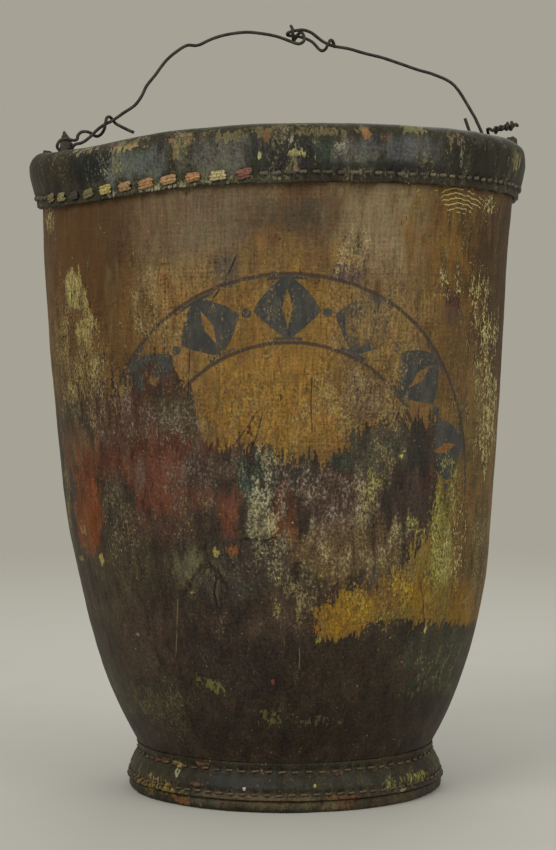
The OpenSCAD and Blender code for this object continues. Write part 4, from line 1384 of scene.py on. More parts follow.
@dataclass
class Sewing:
    """One row of stitches: its thread and length in millimetres, and its stitches so far.

    A stitch has its place, its aim, its outward side and its colour.
    """

    palette: "Palette"
    thread: float
    length: float
    uneven: float
    seed: int
    around: int = 8
    along: int = 6

    def __post_init__(self) -> None:
        """Start without stitches, with a source of small differences."""
        self.dice = random.Random(self.seed)
        self.stitches: list[tuple] = []

    def lay(self, at: Triple, aim: Triple, side: Triple, phi: float) -> None:
        """Add one stitch, with a colour by its angle."""
        self.stitches.append((at, aim, side, self.palette.thread(phi, self.dice)))

    def ring(self, radius: float, z: float, phis: Points, slant: float) -> None:
        """Add stitches that lie round the bucket.

        Args:
            radius: Radius of the row in millimetres.
            z: Height of the row.
            phis: Angles of the stitches.
            slant: Slant of a stitch in degrees, which varies a little.
        """
        tilts = [math.radians(slant + self.dice.uniform(-5.0, 5.0)) for _ in phis]
        drops = [self.dice.uniform(-0.25, 0.25) for _ in phis]
        for phi, tilt, drop in zip(phis, tilts, drops):
            sin, cos = math.sin(phi), math.cos(phi)
            aim = (cos * math.cos(tilt), sin * math.cos(tilt), math.sin(tilt))
            self.lay((radius * sin, -radius * cos, z + drop), aim, (sin, -cos, 0.0), phi)

    def sew(self, name: str, node: str, move: Move) -> Object:
        """Sew the row and seat it in the frame.

        Args:
            name: Name of the piece.
            node: CAD node that it replaces.
            move: How age has moved the stitches.

        Returns:
            The piece.
        """
        at, aim, side, tone = (np.array(column, float) for column in zip(*self.stitches))
        start, end = move(at - aim), move(at + aim)
        source = sketch((start + end) / 2.0, [])
        put_field(source, "aim", (end - start) / np.linalg.norm(end - start, axis=1)[:, None])
        put_field(source, "side", side)
        put_field(source, "tone", tone)
        mesh = STITCHING.run(source, Thread(), thread=self.thread * MM, length=self.length * MM,
                             around=self.around, along=self.along, uneven=self.uneven,
                             seed=self.seed)
        return fit_piece(name, mesh, Body.BUCKET, (node,))


def row_phis(radius: float, pitch: float, start: float = 0.0, stretch: float = 360.0) -> Points:
    """Angles of an even row of stitches, spaced as in the CAD.

    Args:
        radius: Radius of the row in millimetres.
        pitch: Wished spacing.
        start: Start of the row in degrees from +x.
        stretch: Degrees that the row takes.

    Returns:
        Angles from the front.
    """
    count = math.floor(stretch / math.degrees(pitch / radius))
    angles = start + (np.arange(count) + 0.5) * stretch / count
    return turned(np.radians(angles) + math.pi / 2.0)


class Palette(Enum):
    """Colours of the threads, by where they are sewn; the mend's lie in their order."""

    RIM = ("534d3d", "625847", "47423a", "6b6046", "575147", "433d34")
    MEND = ("7d7044", "8d8050", "3b352a", "7a7048", "b3a25c", "a5805a", "ab7f4c", "b48c5e", "a87a4c",
            "ada070", "7d5040")
    FOOT = ("4f4531", "5c4c34", "5f4830", "46402f", "634a35")
    SEAM = ("6e5b38", "5f5034", "776238")

    def thread(self, phi: float, dice: random.Random) -> Colour:
        """Colour of one stitch.

        Args:
            phi: Its angle from the front.
            dice: Source of the small differences.

        Returns:
            The colour.
        """
        codes = self.value
        place = round((math.degrees(phi) - MEND_FROM) / MEND_STEP) % len(codes)
        base = paint(codes[place] if self is Palette.MEND else dice.choice(codes))
        lift = dice.uniform(0.8, 1.15)
        return (base[0] * lift, base[1] * lift, base[2] * lift, 1.0)


class Part:
    """A sub-assembly of the bucket: it builds its meshes, dresses them and seats them."""

    def build(self) -> list[Object]:
        """Build all pieces of the sub-assembly."""
        raise NotImplementedError

    def aged(self, name: str, mesh: Mesh, points: Points, slot: str, node: str) -> Object:
        """Seat a dressed mesh in place of a node, with its points where age has moved them."""
        put_points(mesh, AGE.bucket(points))
        return fit_piece(name, mesh, Body.BUCKET, (node,))


@dataclass
class Vessel(Part):
    """Turned wall and the bottom pressed into it."""

    sides: int = 470
    dented_z: tuple[float, float, float, float] = (24.0, 60.0, 262.0, 274.0)
    bottom_sides: int = 180
    bottom_z: float = 13.0
    bottom_t: float = 4.5
    bend_r: float = 3.0
    flange_z: float = 1.0
    sag_r: Pair = (5.0, 52.0)

    def build(self) -> list[Object]:
        """Build the wall and the bottom."""
        return [self.wall(), self.bottom()]

    def wall(self) -> Object:
        """The wall, dented a little and painted."""
        w = WALL
        outer = [(float(w.radius(z)), z) for z in np.linspace(w.foot_z, w.top, 180)]
        inner = [(float(w.radius(z)) - w.thick, z) for z in np.linspace(w.top, w.foot_z, 24)]
        mesh = TURNING.turn(outer + inner, self.sides, WALL_PAINT)
        points = points_of(mesh)
        push = 0.5 * swell(points, 55.0, 2, 1.0) + 0.16 * swell(points, 14.0, 3, 2.0)
        push_out(points, push * between(points[:, 2], self.dented_z))
        WALL_PAINT.lay(mesh, points, w.shell)
        mesh.materials.append(DarkLeather("inside of the wall", Tint.INSIDE).material())
        middle = vectors(mesh.polygons, "center") / MM
        depth = w.radius(middle[:, 2]) - polar(middle)[1]
        mesh.polygons.foreach_set("material_index", (depth > w.thick / 4.0).astype(np.int32))
        return self.aged("wall", mesh, points, "wall_leather", "body_wall")

    def bottom(self) -> Object:
        """The bottom, sagged a little in its middle."""
        bend_z = self.bottom_z - self.bend_r
        edge = [(float(WALL.radius(z)) - WALL.thick - FIT, z)
                for z in np.linspace(WALL.foot_z, bend_z, 5)]
        bend = bow((edge[-1][0] - self.bend_r, bend_z), self.bend_r, 15.0, 90.0, 6)
        top = evenly([(0.0, self.bottom_z), bend[-1]], 2.2)
        low_z = self.bottom_z - self.bottom_t
        under = [(p[0] - self.bottom_t, p[1]) for p in edge if p[1] < low_z]
        flange = (edge[0][0], self.flange_z)
        section = (top + bend[-2::-1] + edge[::-1]
                   + [flange, (flange[0] - self.bottom_t, self.flange_z)]
                   + under + evenly([(under[-1][0], low_z), (0.0, low_z)], 3.0))
        leather = DarkLeather("bottom leather", Tint.BOTTOM)
        mesh = TURNING.turn(section, self.bottom_sides, leather, closed=False)
        points = points_of(mesh)
        middle = 1.0 - rise(polar(points)[1], *self.sag_r)
        points[:, 2] += 0.5 * swell(points, 20.0, 3, 3.0) * middle
        return self.aged("bottom", mesh, points, "bottom_leather", "bottom_disc")


@dataclass
class Foot(Part):
    """Band sewn round the foot, and the welt under it."""

    band_sides: int = 560
    welt_sides: int = 420
    band_top: float = 21.5
    back_top: float = 21.3
    face_top: float = 21.0
    band_t: float = 3.7
    edge_t: float = 1.3
    full_z: float = 10.5
    wavy_z: float = 17.0
    pinched_z: float = 18.4
    welt_h: float = 5.5
    step: float = 1.2
    thread: float = 1.15
    length: float = 3.6
    sunk: float = 0.25
    rows: tuple[Pair, ...] = ((17.6, 6.0), (8.0, 5.5))

    def face(self, z: Points) -> Points:
        """Radius of the band's outer face at heights z."""
        t = np.clip((self.band_top - np.asarray(z, float)) / (self.band_top - self.full_z), 0.0, 1.0)
        thick = self.edge_t + (self.band_t - self.edge_t) * t * t * (3.0 - 2.0 * t)
        return WALL.radius(z) + FIT + thick

    @property
    def shell(self) -> Shell:
        """The foot's outer skin, to paint on."""
        return Shell(self.face, 0.0, self.band_top)

    def build(self) -> list[Object]:
        """Build the band, the welt and their stitches."""
        return [self.band(), self.welt(), *self.stitches()]

    def band(self) -> Object:
        """The band, pinched at its stitches."""
        face = [(float(self.face(z)), z) for z in np.linspace(WALL.foot_z, self.face_top, 24)]
        back = [(float(WALL.radius(z)) + FIT, z)
                for z in np.linspace(self.back_top, WALL.foot_z, 6)]
        top = [(0.5 * (face[-1][0] + back[0][0]) + 0.25, self.band_top)]
        mesh = TURNING.turn(face + top + back, self.band_sides, FOOT_PAINT)
        points = points_of(mesh)
        phi, radius = polar(points)
        outer = rise(radius - WALL.radius(points[:, 2]), 0.5, 1.2)
        push = 0.35 * swell(points, 16.0, 3, 4.0) + 0.12 * swell(points, 3.5, 2, 5.0)
        push -= 0.9 * rise(points[:, 2], self.pinched_z, self.back_top)
        for z, pitch in self.rows:
            beat = np.cos((phi - math.pi / 2.0) * len(row_phis(float(self.face(z)), pitch)))
            near = bell(points[:, 2] - z, 1.6)
            push += near * (-0.75 + 0.35 * beat) + 0.2 * bell(np.abs(points[:, 2] - z) - 3.0, 1.2)
        push_out(points, push * outer)
        wavy = rise(points[:, 2], self.wavy_z, self.face_top) * outer
        points[:, 2] += 0.35 * swell(points, 9.0, 2, 6.0) * wavy
        FOOT_PAINT.lay(mesh, points, self.shell, outer)
        return self.aged("foot_cuff", mesh, points, "foot_leather", "foot_band")

    def welt(self) -> Object:
        """The welt, with its worn round edge."""
        inner = float(WALL.radius(WALL.foot_z)) - WALL.thick
        outer = float(self.face(WALL.foot_z)) - self.step
        r = self.welt_h / 3.0
        section = (evenly([(inner, self.welt_h), (inner, 0.0), (outer - r, 0.0)], 1.6)
                   + bow((outer - r, r), r, -75.0, 0.0, 5)
                   + bow((outer - r, self.welt_h - r), r, 0.0, 90.0, 6))
        mesh = TURNING.turn(section, self.welt_sides, FOOT_PAINT)
        points = points_of(mesh)
        _, radius = polar(points)
        edge = rise(radius, outer - 4.0, outer - 1.0)
        push = (0.5 * swell(points, 12.0, 3, 7.0) + 0.15 * swell(points, 3.0, 2, 8.0)) * edge
        push_out(points, push)
        points[:, 2] = np.clip(points[:, 2], 0.0, self.welt_h)
        FOOT_PAINT.lay(mesh, points, self.shell, rise(radius, outer - 3.0, outer - 1.0))
        return self.aged("foot_sole_edge", mesh, points, "foot_leather", "foot_welt")

    def stitches(self) -> list[Object]:
        """Both rows of stitches."""
        made = []
        for (z, pitch), name, seed in zip(self.rows, ("upper", "lower"), (11, 12)):
            radius = float(self.face(z))
            row = Sewing(Palette.FOOT, self.thread, self.length, uneven=0.08, seed=seed)
            row.ring(radius - self.sunk, z, row_phis(radius, pitch), slant=4.0)
            made.append(row.sew(f"foot_{name}_thread", f"foot_{name}_stitches", AGE.bucket))
        return made


@dataclass
class Rim(Part):
    """Rolled leather binding over a rope, sewn through the wall and mended at the left.

    Two radii or heights are where a change begins and where it is whole.
    """

    sides: int = 640
    rope_sides: int = 400
    rope_z: float = 292.95
    rope_r: float = 4.75
    rim_r: float = 109.4
    roll_r: float = 7.05
    rope_lay: float = 24.0
    leg_z: float = 275.0
    lip_z: float = 277.6
    lip_step: float = 1.2
    slot_z: float = 287.6
    face_z: float = 281.0
    row_z: float = 278.95
    face_r: float = 114.22
    inner_r: float = 104.32
    outside_r: Pair = (111.3, 112.6)
    roll_skin: Pair = (6.0, 6.8)
    lip_r: Pair = (111.2, 112.4)
    ragged_z: Pair = (279.0, 275.0)
    crest_z: Pair = (295.0, 300.0)
    painted_r: float = 115.6
    painted_z: Pair = (272.0, 300.5)
    pitch: float = 5.5
    sunk: float = 0.35
    mend_count: int = 11
    strand_step: float = 0.95
    strand_bow: float = 0.22

    @property
    def mend_phis(self) -> Points:
        """Angles of the mend's stitches."""
        return np.radians(MEND_FROM + MEND_STEP * np.arange(self.mend_count))

    @property
    def row_phis(self) -> Points:
        """Angles of the old stitches, on the rest of the rim."""
        taken = MEND_STEP * self.mend_count
        start = 270.0 + MEND_FROM - MEND_STEP / 2.0 + taken
        return row_phis(self.face_r, self.pitch, start, 360.0 - taken)

    def build(self) -> list[Object]:
        """Build the rope, the binding and its stitches."""
        return [self.rope(), self.binding(), self.old_stitches(), self.mend_stitches()]

    def rope(self) -> Object:
        """Three-strand rope inside the roll."""
        section = bow((self.rim_r, self.rope_z), self.rope_r - 0.1, 0.0, 345.0, 24)
        mesh = TURNING.turn(section, self.rope_sides, Hemp())
        points = points_of(mesh)
        phi, radius = polar(points)
        around = np.arctan2(points[:, 2] - self.rope_z, radius - self.rim_r)
        groove = 0.55 * np.abs(np.sin(1.5 * (around + self.rope_lay * phi / 1.5))) ** 0.7 - 0.55
        points[:, 2] += groove * np.sin(around)
        push_out(points, groove * np.cos(around))
        return self.aged("rim_cord_core", mesh, points, "rope", "rim_rope")

    def section(self) -> list[Pair]:
        """Closed section of the binding: lip, face, roll, inner leg and the slot for the wall."""
        lip = self.face_r - self.lip_step
        face = [(self.face_r + (self.rim_r + self.roll_r - self.face_r) * math.sin(a),
                 self.face_z + (self.rope_z - self.face_z) * a / (math.pi / 2.0))
                for a in np.linspace(0.0, math.pi / 2.0, 10)]
        roll = bow((self.rim_r, self.rope_z), self.roll_r, 9.0, 180.0, 22)
        leg = evenly([roll[-1], (self.inner_r, self.leg_z)], 1.8)
        slot = float(WALL.radius(self.leg_z))
        hollow = bow((self.rim_r, self.rope_z), self.rope_r + FIT, -118.0, -422.0, 14)
        under = evenly([(self.inner_r, self.leg_z), (slot - WALL.thick - FIT, self.leg_z)], 1.2)
        front = evenly([(slot + 0.9, self.slot_z), (slot + FIT, self.leg_z), (lip, self.leg_z)], 2.0)
        edge = evenly([(lip, self.leg_z), (lip + 0.1, self.lip_z), (self.face_r, self.face_z)], 0.9)
        return edge[:-1] + face + roll + leg[1:] + under[1:] + hollow + front[:-1]

    def binding(self) -> Object:
        """The binding, pinched by every stitch and dented by wear."""
        mesh = TURNING.turn(self.section(), self.sides, RIM_PAINT)
        points = points_of(mesh)
        phi, radius = polar(points)
        z = points[:, 2]
        outer = rise(radius, *self.outside_r)
        away = np.hypot(radius - self.rim_r, z - self.rope_z)
        skin = np.maximum(outer, rise(away, *self.roll_skin))
        push = 0.55 * swell(points, 30.0, 2, 9.0) + 0.2 * swell(points, 7.0, 3, 10.0)
        for phis, deep, wide in ((self.row_phis, 0.8, 2.0), (self.mend_phis, 1.1, 3.7)):
            gap = np.min(np.abs(turned(phi[:, None] - phis[None, :])), 1) * self.face_r
            own = bell(gap, wide)
            push -= deep * own * bell(z - self.row_z, 1.9) * outer
            push += 0.45 * (1.0 - own) * bell(gap, 2.2 * wide) * bell(z - self.row_z, 3.4) * outer
        push_out(points, push * skin)
        ragged = rise(z, *self.ragged_z) * rise(radius, *self.lip_r)
        points[:, 2] += (0.7 * swell(points, 8.0, 3, 11.0) - 0.2) * ragged
        points[:, 2] += 0.35 * swell(points, 24.0, 2, 12.0) * rise(z, *self.crest_z)
        shell = Shell(lambda heights: np.full(np.shape(heights), self.painted_r), *self.painted_z)
        RIM_PAINT.lay(mesh, points, shell, rise(radius, self.rim_r - 1.0, self.rim_r + 2.0))
        return self.aged("rim_roll", mesh, points, "rim_leather", "rim_binding")

    def old_stitches(self) -> Object:
        """The old thread, short and dirty."""
        row = Sewing(Palette.RIM, thread=1.7, length=3.8, uneven=0.12, seed=21)
        row.ring(self.face_r - self.sunk, self.row_z, self.row_phis, slant=6.0)
        return row.sew("rim_old_thread", "rim_stitches", AGE.bucket)

    def mend_stitches(self) -> Object:
        """The mend's stitches, each of four strands of a bright thong."""
        row = Sewing(Palette.MEND, thread=1.45, length=7.0, uneven=0.2, seed=22, around=10, along=12)
        for k in (-1.5, -0.5, 0.5, 1.5):
            radius = self.face_r - 0.1 - self.strand_bow * k * k
            row.ring(radius, self.row_z + self.strand_step * k, self.mend_phis, slant=7.0)
        return row.sew("rim_mend_thong", "rim_mend_stitches", AGE.bucket)


class CutLeather:
    """Leather cut from a CAD node's form, with its edges worn round."""

    def __init__(self, node: str, grain: float, finish: Finish) -> None:
        """Cover a node's form with an even mesh.

        Args:
            node: The CAD node.
            grain: Size of the new mesh's faces in millimetres.
            finish: Finish of the leather.
        """
        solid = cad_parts[node].data.copy()
        faces_outwards(solid)
        maker = placed("maker", solid)
        form = maker.modifiers.new("even", "REMESH")
        form.mode, form.voxel_size, form.use_smooth_shade = "VOXEL", grain * MM, True
        soften = maker.modifiers.new("worn", "SMOOTH")
        soften.factor, soften.iterations = 0.5, 3
        self.mesh = worked(maker)
        self.mesh.materials.clear()
        self.mesh.materials.append(finish.material())

    def worn(self, size: float, depth: float, seed: float) -> Points:
        """Push the surface in and out, and give back its points.

        Args:
            size: Size of the dents in millimetres.
            depth: Their depth.
            seed: Which dents.

        Returns:
            The moved points.
        """
        points = points_of(self.mesh)
        push = depth * swell(points, size, 3, seed)
        return points + vectors(self.mesh.vertices, "normal") * push[:, None]


@dataclass
class BackSeam(Part):
    """Cover strip over the wall's seam at the back, and its stitches."""

    angle: float = 12.0
    thick: float = 2.0
    low: float = 21.7
    high: float = 274.8
    pitch: float = 8.0
    length: float = 5.0
    inset: float = 2.6
    raised: float = 0.3

    def build(self) -> list[Object]:
        """Build the strip and its stitches."""
        return [self.strip(), self.stitches()]

    def strip(self) -> Object:
        """The strip, painted with the wall."""
        cut = CutLeather("seam_strip", 0.8, WALL_PAINT)
        points = cut.worn(12.0, 0.25, 13.0)
        WALL_PAINT.lay(cut.mesh, points, WALL.shell)
        return self.aged("back_strip", cut.mesh, points, "wall_leather", "seam_strip")

    def stitches(self) -> Object:
        """Two columns of stitches that follow the wall's slope."""
        first = self.low + self.length
        count = math.floor((self.high - self.length - first) / self.pitch) + 1
        row = Sewing(Palette.SEAM, thread=1.3, length=self.length, uneven=0.08, seed=31)
        for i in range(count):
            z = first + i * self.pitch
            radius = float(WALL.radius(z)) + FIT + self.thick
            slope = math.atan(float(WALL.radius(z + 0.5) - WALL.radius(z - 0.5)))
            away, up = math.sin(slope), math.cos(slope)
            for edge in (-1, 1):
                phi = math.pi + edge * (math.radians(self.angle) / 2.0 - self.inset / radius)
                sin, cos = math.sin(phi), math.cos(phi)
                at = ((radius + self.raised) * sin, -(radius + self.raised) * cos, z)
                lean = row.dice.uniform(-0.06, 0.06)
                aim = (away * sin + lean * cos, -away * cos + lean * sin, up)
                row.lay(at, aim, (sin, -cos, 0.0), phi)
        return row.sew("back_strip_thread", "seam_stitches", AGE.bucket)


@dataclass
class Ears(Part):
    """Ears with their bores, the torn ends of the old strap, and the tie wire on the right."""

    row_step: float = 3.5
    column_y: float = 3.08
    slope_z: float = 261.0
    leg: tuple[Triple, ...] = (
        (0.2, 8.6, -6.0), (0.2, 8.6, -2.0), (0.3, 8.5, 1.6), (0.2, 7.6, 5.2), (-0.4, 5.2, 7.7),
        (-0.8, 2.6, 8.6), (0.2, 0.7, 8.5), (1.5, -0.1, 7.6))
    core_from: Triple = (2.9, 0.0, 8.3)
    core_to: Triple = (11.4, 0.0, 10.0)
    bend: tuple[Triple, ...] = (
        (12.1, -0.85, 10.4), (12.8, -0.55, 10.1), (13.0, 0.0, 9.8), (12.8, 0.55, 10.0),
        (12.1, 0.95, 10.4))
    tail: Triple = (2.6, 0.7, 6.4)
    turns: float = 1.75
    twist_r: float = 0.8
    wrap_r: float = 1.65
    wrap_from: float = 0.55
    wrap_share: float = 0.4
    pits: float = 0.25

    def build(self) -> list[Object]:
        """Build everything that stands on the rim's ends."""
        made = []
        for side in ("left", "right"):
            made.append(self.cut(f"bored_ear_{side}", f"ear_{side}", 0.42, AGE.leaned))
            made.append(self.stitches(side))
        made.append(self.cut("torn_point", "torn_point_left", 0.25, AGE.bucket, 1.17))
        made.append(self.cut("stub_left", "strap_stub_left", 0.25, AGE.bucket))
        made.append(self.cut("stub_right", "strap_stub_right", 0.3, AGE.bucket))
        return [*made, self.tie_wire()]

    def cut(self, name: str, node: str, grain: float, move: Move, curled: float = 1.0) -> Object:
        """One cut piece of leather.

        Args:
            name: Name of the piece.
            node: CAD node that it replaces.
            grain: Size of its faces in millimetres.
            move: How age has moved it.
            curled: How much wider and taller age has drawn what stands over the rim.

        Returns:
            The piece.
        """
        cut = CutLeather(node, grain, DarkLeather("ear leather", Tint.EAR))
        points = cut.worn(2.6, 0.3, 14.0)
        if curled > 1.0:
            free = rise(points[:, 2], AGE.rim_top - 3.0, AGE.rim_top + 1.0)
            foot = np.array([*points[free > 0.5, :2].mean(0), AGE.rim_top])
            points += (points - foot) * (curled - 1.0) * free[:, None]
        put_points(cut.mesh, move(points))
        return fit_piece(name, cut.mesh, Body.BUCKET, (node,))

    def stitches(self, side: str) -> Object:
        """Two columns of stitches on the inner face of an ear's foot."""
        low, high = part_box(f"ear_{side}_stitches")
        mid = (low + high) / 2.0 / MM
        sign = math.copysign(1.0, mid.x)
        slope = float(WALL.radius(self.slope_z + 1.0) - WALL.radius(self.slope_z))
        row = Sewing(Palette.SEAM, thread=1.3, length=3.2, uneven=0.05, seed=41)
        for step in (-1, 0, 1):
            for column in (-1, 1):
                z = mid.z + step * self.row_step
                at = (mid.x + sign * slope * (z - mid.z), column * self.column_y, z)
                aim = (sign * slope, row.dice.uniform(-0.1, 0.1), 1.0)
                row.lay(at, aim, (-sign, 0.0, 0.0), 0.0)
        return row.sew(f"ear_{side}_thread", f"ear_{side}_stitches", AGE.leaned)

    def strand(self, share: Points, turn: Points, reach: Points) -> Points:
        """Places on a strand that winds round the tie's core.

        Args:
            share: How far along the core each place lies, from 0 to 1.
            turn: Its turns round the core.
            reach: Its distance from the core.

        Returns:
            The places, seen from the bore.
        """
        start, end = np.array(self.core_from), np.array(self.core_to)
        along, across = end - start, np.array([0.0, 1.0, 0.0])
        up = np.array([-along[2], 0.0, along[0]]) / np.linalg.norm(along)
        wound = np.outer(np.cos(math.tau * turn), up) + np.outer(np.sin(math.tau * turn), across)
        return start + np.outer(share, along) + reach[:, None] * wound

    def tie_wire(self) -> Object:
        """The tie: a leg inside the rim and two strands twisted over the stub, wound at the end."""
        out, back = np.linspace(0.0, 0.96, 15), np.linspace(0.97, 0.08, 34)
        wrapped = np.clip((back - self.wrap_from) / self.wrap_share, 0.0, 1.0)
        reach = over(self.twist_r, self.wrap_r, rise(back, 0.5, 0.62))
        first = self.strand(out, self.turns * out, np.full_like(out, self.twist_r))
        second = self.strand(back, self.turns * back + 0.5 + wrapped, reach)
        points = np.vstack([self.leg, first, self.bend, second, self.tail])
        mesh = DRAWING.draw(AGE.bucket(through(points + np.array(BORE), 4)), self.pits)
        return fit_piece("tie_of_right_strap", mesh, Body.BUCKET, ("tie_wire_right",))


def through(points: Points, steps: int) -> Points:
    """A smooth path through points, as in the CAD.

    Args:
        points: The points.
        steps: Number of steps from each to the next.

    Returns:
        The path's points.
    """
    last = len(points) - 1
    out = []
    for i in range(last):
        a, b, c, d = (points[j] for j in (max(i - 1, 0), i, i + 1, min(i + 2, last)))
        for k in range(steps):
            t = k / steps
            out.append(0.5 * (2 * b + (c - a) * t + (2 * a - 5 * b + 4 * c - d) * t ** 2
                              + (3 * b - a - 3 * c + d) * t ** 3))
    return np.array(out + [points[last]])


@dataclass
class Bail(Part):
    """Two iron wires, hooked together over the bucket and looped through the ears."""

    pits: float = 0.22
    hook: Triple = (10.0, 0.0, 355.0)
    left_end: tuple[Triple, ...] = (
        (32.6, 0, 9.1), (28.8, 0.2, 10.9), (25.4, 0.8, 12.7), (23.6, 1.8, 13.9), (22.4, 2, 15.5),
        (21, 0.6, 16.7), (19.9, -1.2, 15.9), (19.3, -2.1, 13.4), (18.8, -1.6, 10.8), (17.4, 0, 8.6),
        (15.3, 1.7, 7.3), (13.5, 2.1, 7.7), (12, 1.5, 8.6), (10, 1.1, 9.1), (7.6, 1.2, 8.7),
        (6, 1.3, 7.1), (5.6, 1.3, 5.3), (4.2, 1.1, 4.6), (2.2, 0.6, 4.9), (0, 0, 5.1),
        (-2.4, -0.2, 4.3), (-3.7, -0.1, 2.2), (-3.4, 0, 0.6), (-2.1, 0, 0), (0, 0, 0), (2.1, 0, 0),
        (3.3, -0.3, 0.6), (4.2, -0.9, 1.9), (5.6, -1.1, 2.8), (7.4, -1, 3.2), (9.6, -0.7, 4.5),
        (12.4, -0.2, 7.1), (15.5, 0, 10.4), (18.6, 0, 12.8), (22, 0, 14.6), (25.5, 0, 16.9))
    left_run: tuple[Pair, ...] = (
        (0.076, 0.6), (0.125, 3), (0.163, 6.7), (0.224, 9.5), (0.3, 13.4), (0.374, 14.9), (0.45, 15.1),
        (0.526, 12.3), (0.626, 11.6), (0.737, 9.6), (0.875, 5.5))
    left_hook: tuple[Triple, ...] = (
        (-9.8, -0.2, -1.2), (-4.5, -0.9, -3.3), (-1.3, -2, -4.7), (0.6, -2.6, -5), (2.2, -2.8, -4.1),
        (2.8, -2.5, -2.6), (2.4, -1.4, -1), (2, 0, 0), (1.4, 1.8, 1), (0, 3.1, 0.6), (-1.6, 3.5, -1.8),
        (-2.4, 1.8, -3), (-2.6, -0.9, -2), (-2.7, -3.1, -0.6), (-2.9, -3.3, 1.5), (-3.3, -2.1, 2.9),
        (-3.6, -1, 3.6))
    right_end: tuple[Triple, ...] = (
        (6, 0, 12.8), (3.7, 0, 7.7), (3.1, 0, 4.6), (2.95, 0, 1.9), (2.2, 0, 0.3), (0, 0, 0),
        (-2.1, 0, 0), (-3.4, 0.1, 0.6), (-3.7, 0.2, 2.2), (-2.4, 0.4, 4.2), (0, 0.6, 5.1),
        (2.2, 1.7, 5.2), (4, 2.4, 5.6), (6.4, 2.2, 5.9), (8.3, 1.4, 6.8), (9.5, 0.8, 8.4),
        (10.6, 0.4, 11.2), (11.8, 0.3, 14.4))
    right_run: tuple[Pair, ...] = (
        (0.086, 1.7), (0.213, 3.2), (0.339, 5), (0.466, 6.1), (0.593, 7.1), (0.721, 8.5), (0.87, 8.2))
    right_eye: tuple[Triple, ...] = (
        (17.4, 2.2, -6.4), (16.7, 2, -4.5), (15.9, 0.4, -3.3), (15, -1.5, -3.4), (14.2, -2.3, -4.8),
        (13.4, -2.1, -6.3), (12.6, -1, -7.5), (11.2, -0.2, -8.1), (9.8, 0.2, -7.4), (8.4, 0.6, -5.8),
        (6.8, 0.9, -4), (4.6, 1.1, -2.6), (2.3, 1.2, -1.7), (-0.8, 1.4, -0.8), (-3.6, 1.4, -0.6),
        (-5.2, 0.7, -0.3), (-5, -0.5, 0.5), (-3.4, -1.1, 1), (-0.8, -1.1, 1.5), (2.3, -1, 1.7),
        (5.9, -1, 0.4), (8.2, -0.8, -1.3), (10.5, -0.6, -3.1), (13, -0.3, -4.6), (15.4, 0, -5.6))
    left_span: tuple[Triple, ...] = ((27.8, 0, 18.5), (-16, 0, 0.2))
    right_span: tuple[Triple, ...] = ((18.2, 0, -6.3), (8.4, 0, 17.2))

    def build(self) -> list[Object]:
        """Build both wires."""
        mirror = np.array((-1.0, 1.0, 1.0))
        hook, left, right = np.array(self.hook), np.array(BORE) * mirror, np.array(BORE)
        start, end = left + self.left_span[0], hook + self.left_span[1]
        left_path = np.vstack([left + np.array(self.left_end), start,
                               self.run(start, end, self.left_run), end,
                               hook + np.array(self.left_hook)])
        start, end = hook + self.right_span[0], right + mirror * self.right_span[1]
        right_path = np.vstack([hook + np.array(self.right_eye), start,
                                self.run(start, end, self.right_run), end,
                                right + mirror * np.array(self.right_end)])
        return [self.drawn("left", left_path), self.drawn("right", right_path)]

    def run(self, start: Points, end: Points, bends: tuple) -> Points:
        """Points of a long run: shares of the way and heights over the straight line."""
        return np.array([start + (end - start) * q[0] + (0.0, 0.0, q[1]) for q in bends])

    def drawn(self, side: str, points: Points) -> Object:
        """One wire along its points."""
        mesh = DRAWING.draw(AGE.bail(through(points, 5)), self.pits)
        return fit_piece(f"bail_{side}", mesh, Body.BAIL, (f"bail_wire_{side}",))


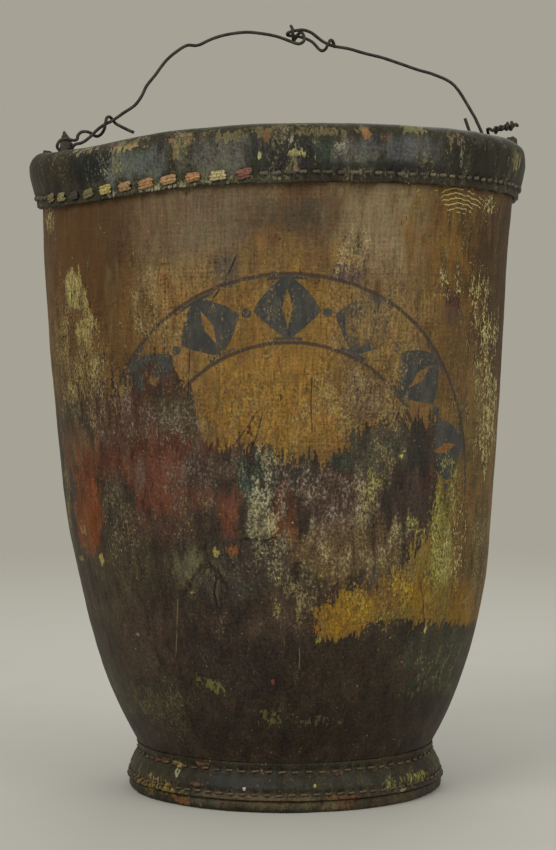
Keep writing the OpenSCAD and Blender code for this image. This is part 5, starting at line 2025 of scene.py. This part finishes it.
@dataclass
class Stage:
    """Pale floor, soft light and the camera at the photograph's place.

    The lens and the film are in millimetres, the floor and the lamps' places in metres. A lamp has
    its name, its place, its side and its power.
    """

    lens: float = 90.2
    film: float = 36.0
    reach: float = 30.0
    floor_r: float = 12.0
    light: float = 0.62
    back: str = "a6a396"
    aim: Triple = (0.0, 0.0, 0.16)
    lamps: tuple = (
        ("key", (-1.1, -1.5, 1.5), 1.3, 22.0), ("fill", (1.4, -1.2, 0.9), 1.4, 13.0),
        ("rear", (0.3, 1.6, 1.6), 1.4, 12.0))

    def build(self) -> None:
        """Set the camera first, then the floor and the lamps."""
        self.camera()
        self.floor()
        self.world()
        for row in self.lamps:
            self.lamp(*row)
        bpy.context.scene.view_settings.view_transform = "Standard"

    def camera(self) -> None:
        """The camera, level with the middle of the bucket and turned down a little."""
        data = bpy.data.cameras.new("camera")
        data.lens, data.sensor_width, data.clip_end = self.lens, self.film, self.reach
        camera = placed("camera", data)
        camera.location = [MM * c for c in EYE.at]
        camera.rotation_euler = (math.radians(90.0 - EYE.pitch), 0.0, 0.0)
        bpy.context.scene.camera = camera

    def floor(self) -> None:
        """A wide round floor."""
        bm = bmesh.new()
        bmesh.ops.create_circle(bm, cap_ends=True, segments=96, radius=self.floor_r)
        mesh = bpy.data.meshes.new("floor")
        bm.to_mesh(mesh)
        bm.free()
        mesh.materials.append(PaleFloor("floor", self.back).material())
        floor = placed("floor", mesh)

    def world(self) -> None:
        """Even light all round, and a pale backdrop for the camera."""
        world = bpy.data.worlds.new("world")
        bpy.context.scene.world = world
        world.use_nodes = True
        g = Graph(world.node_tree)
        path = g.add("ShaderNodeLightPath", None, None, "Is Camera Ray")
        path = path.top(path.of("Is Glossy Ray")).top(path.of("Is Transmission Ray"))
        light = g.add("ShaderNodeBackground", None, {"Color": paint("ffffff"), "Strength": self.light})
        seen = g.add("ShaderNodeBackground", None, {"Color": paint(self.back), "Strength": 1.0})
        mixed = g.add("ShaderNodeMixShader", None, {0: path, 1: light, 2: seen})
        g.add("ShaderNodeOutputWorld", None, {"Surface": mixed})

    def lamp(self, name: str, place: Triple, size: float, power: float) -> None:
        """One large soft lamp that looks at the bucket.

        Args:
            name: Its name.
            place: Its place in metres.
            size: Its side in metres.
            power: Its power in watts.
        """
        data = bpy.data.lights.new(name, "AREA")
        data.energy, data.size, data.shape = power, size, "SQUARE"
        lamp = placed(name, data)
        lamp.location = place
        lamp.rotation_euler = (Vector(self.aim) - Vector(place)).to_track_quat("-Z", "Y").to_euler()


def main() -> None:
    """Build the bucket's parts in order and report each."""
    logging.basicConfig(level=logging.INFO, format="%(name)s: %(message)s")
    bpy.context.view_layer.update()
    Stage().build()
    for part in (Vessel(), BackSeam(), Foot(), Rim(), Ears(), Bail()):
        made = part.build()
        LOG.info("%s: %d pieces", type(part).__name__, len(made))


if __name__ == "__main__":
    main()
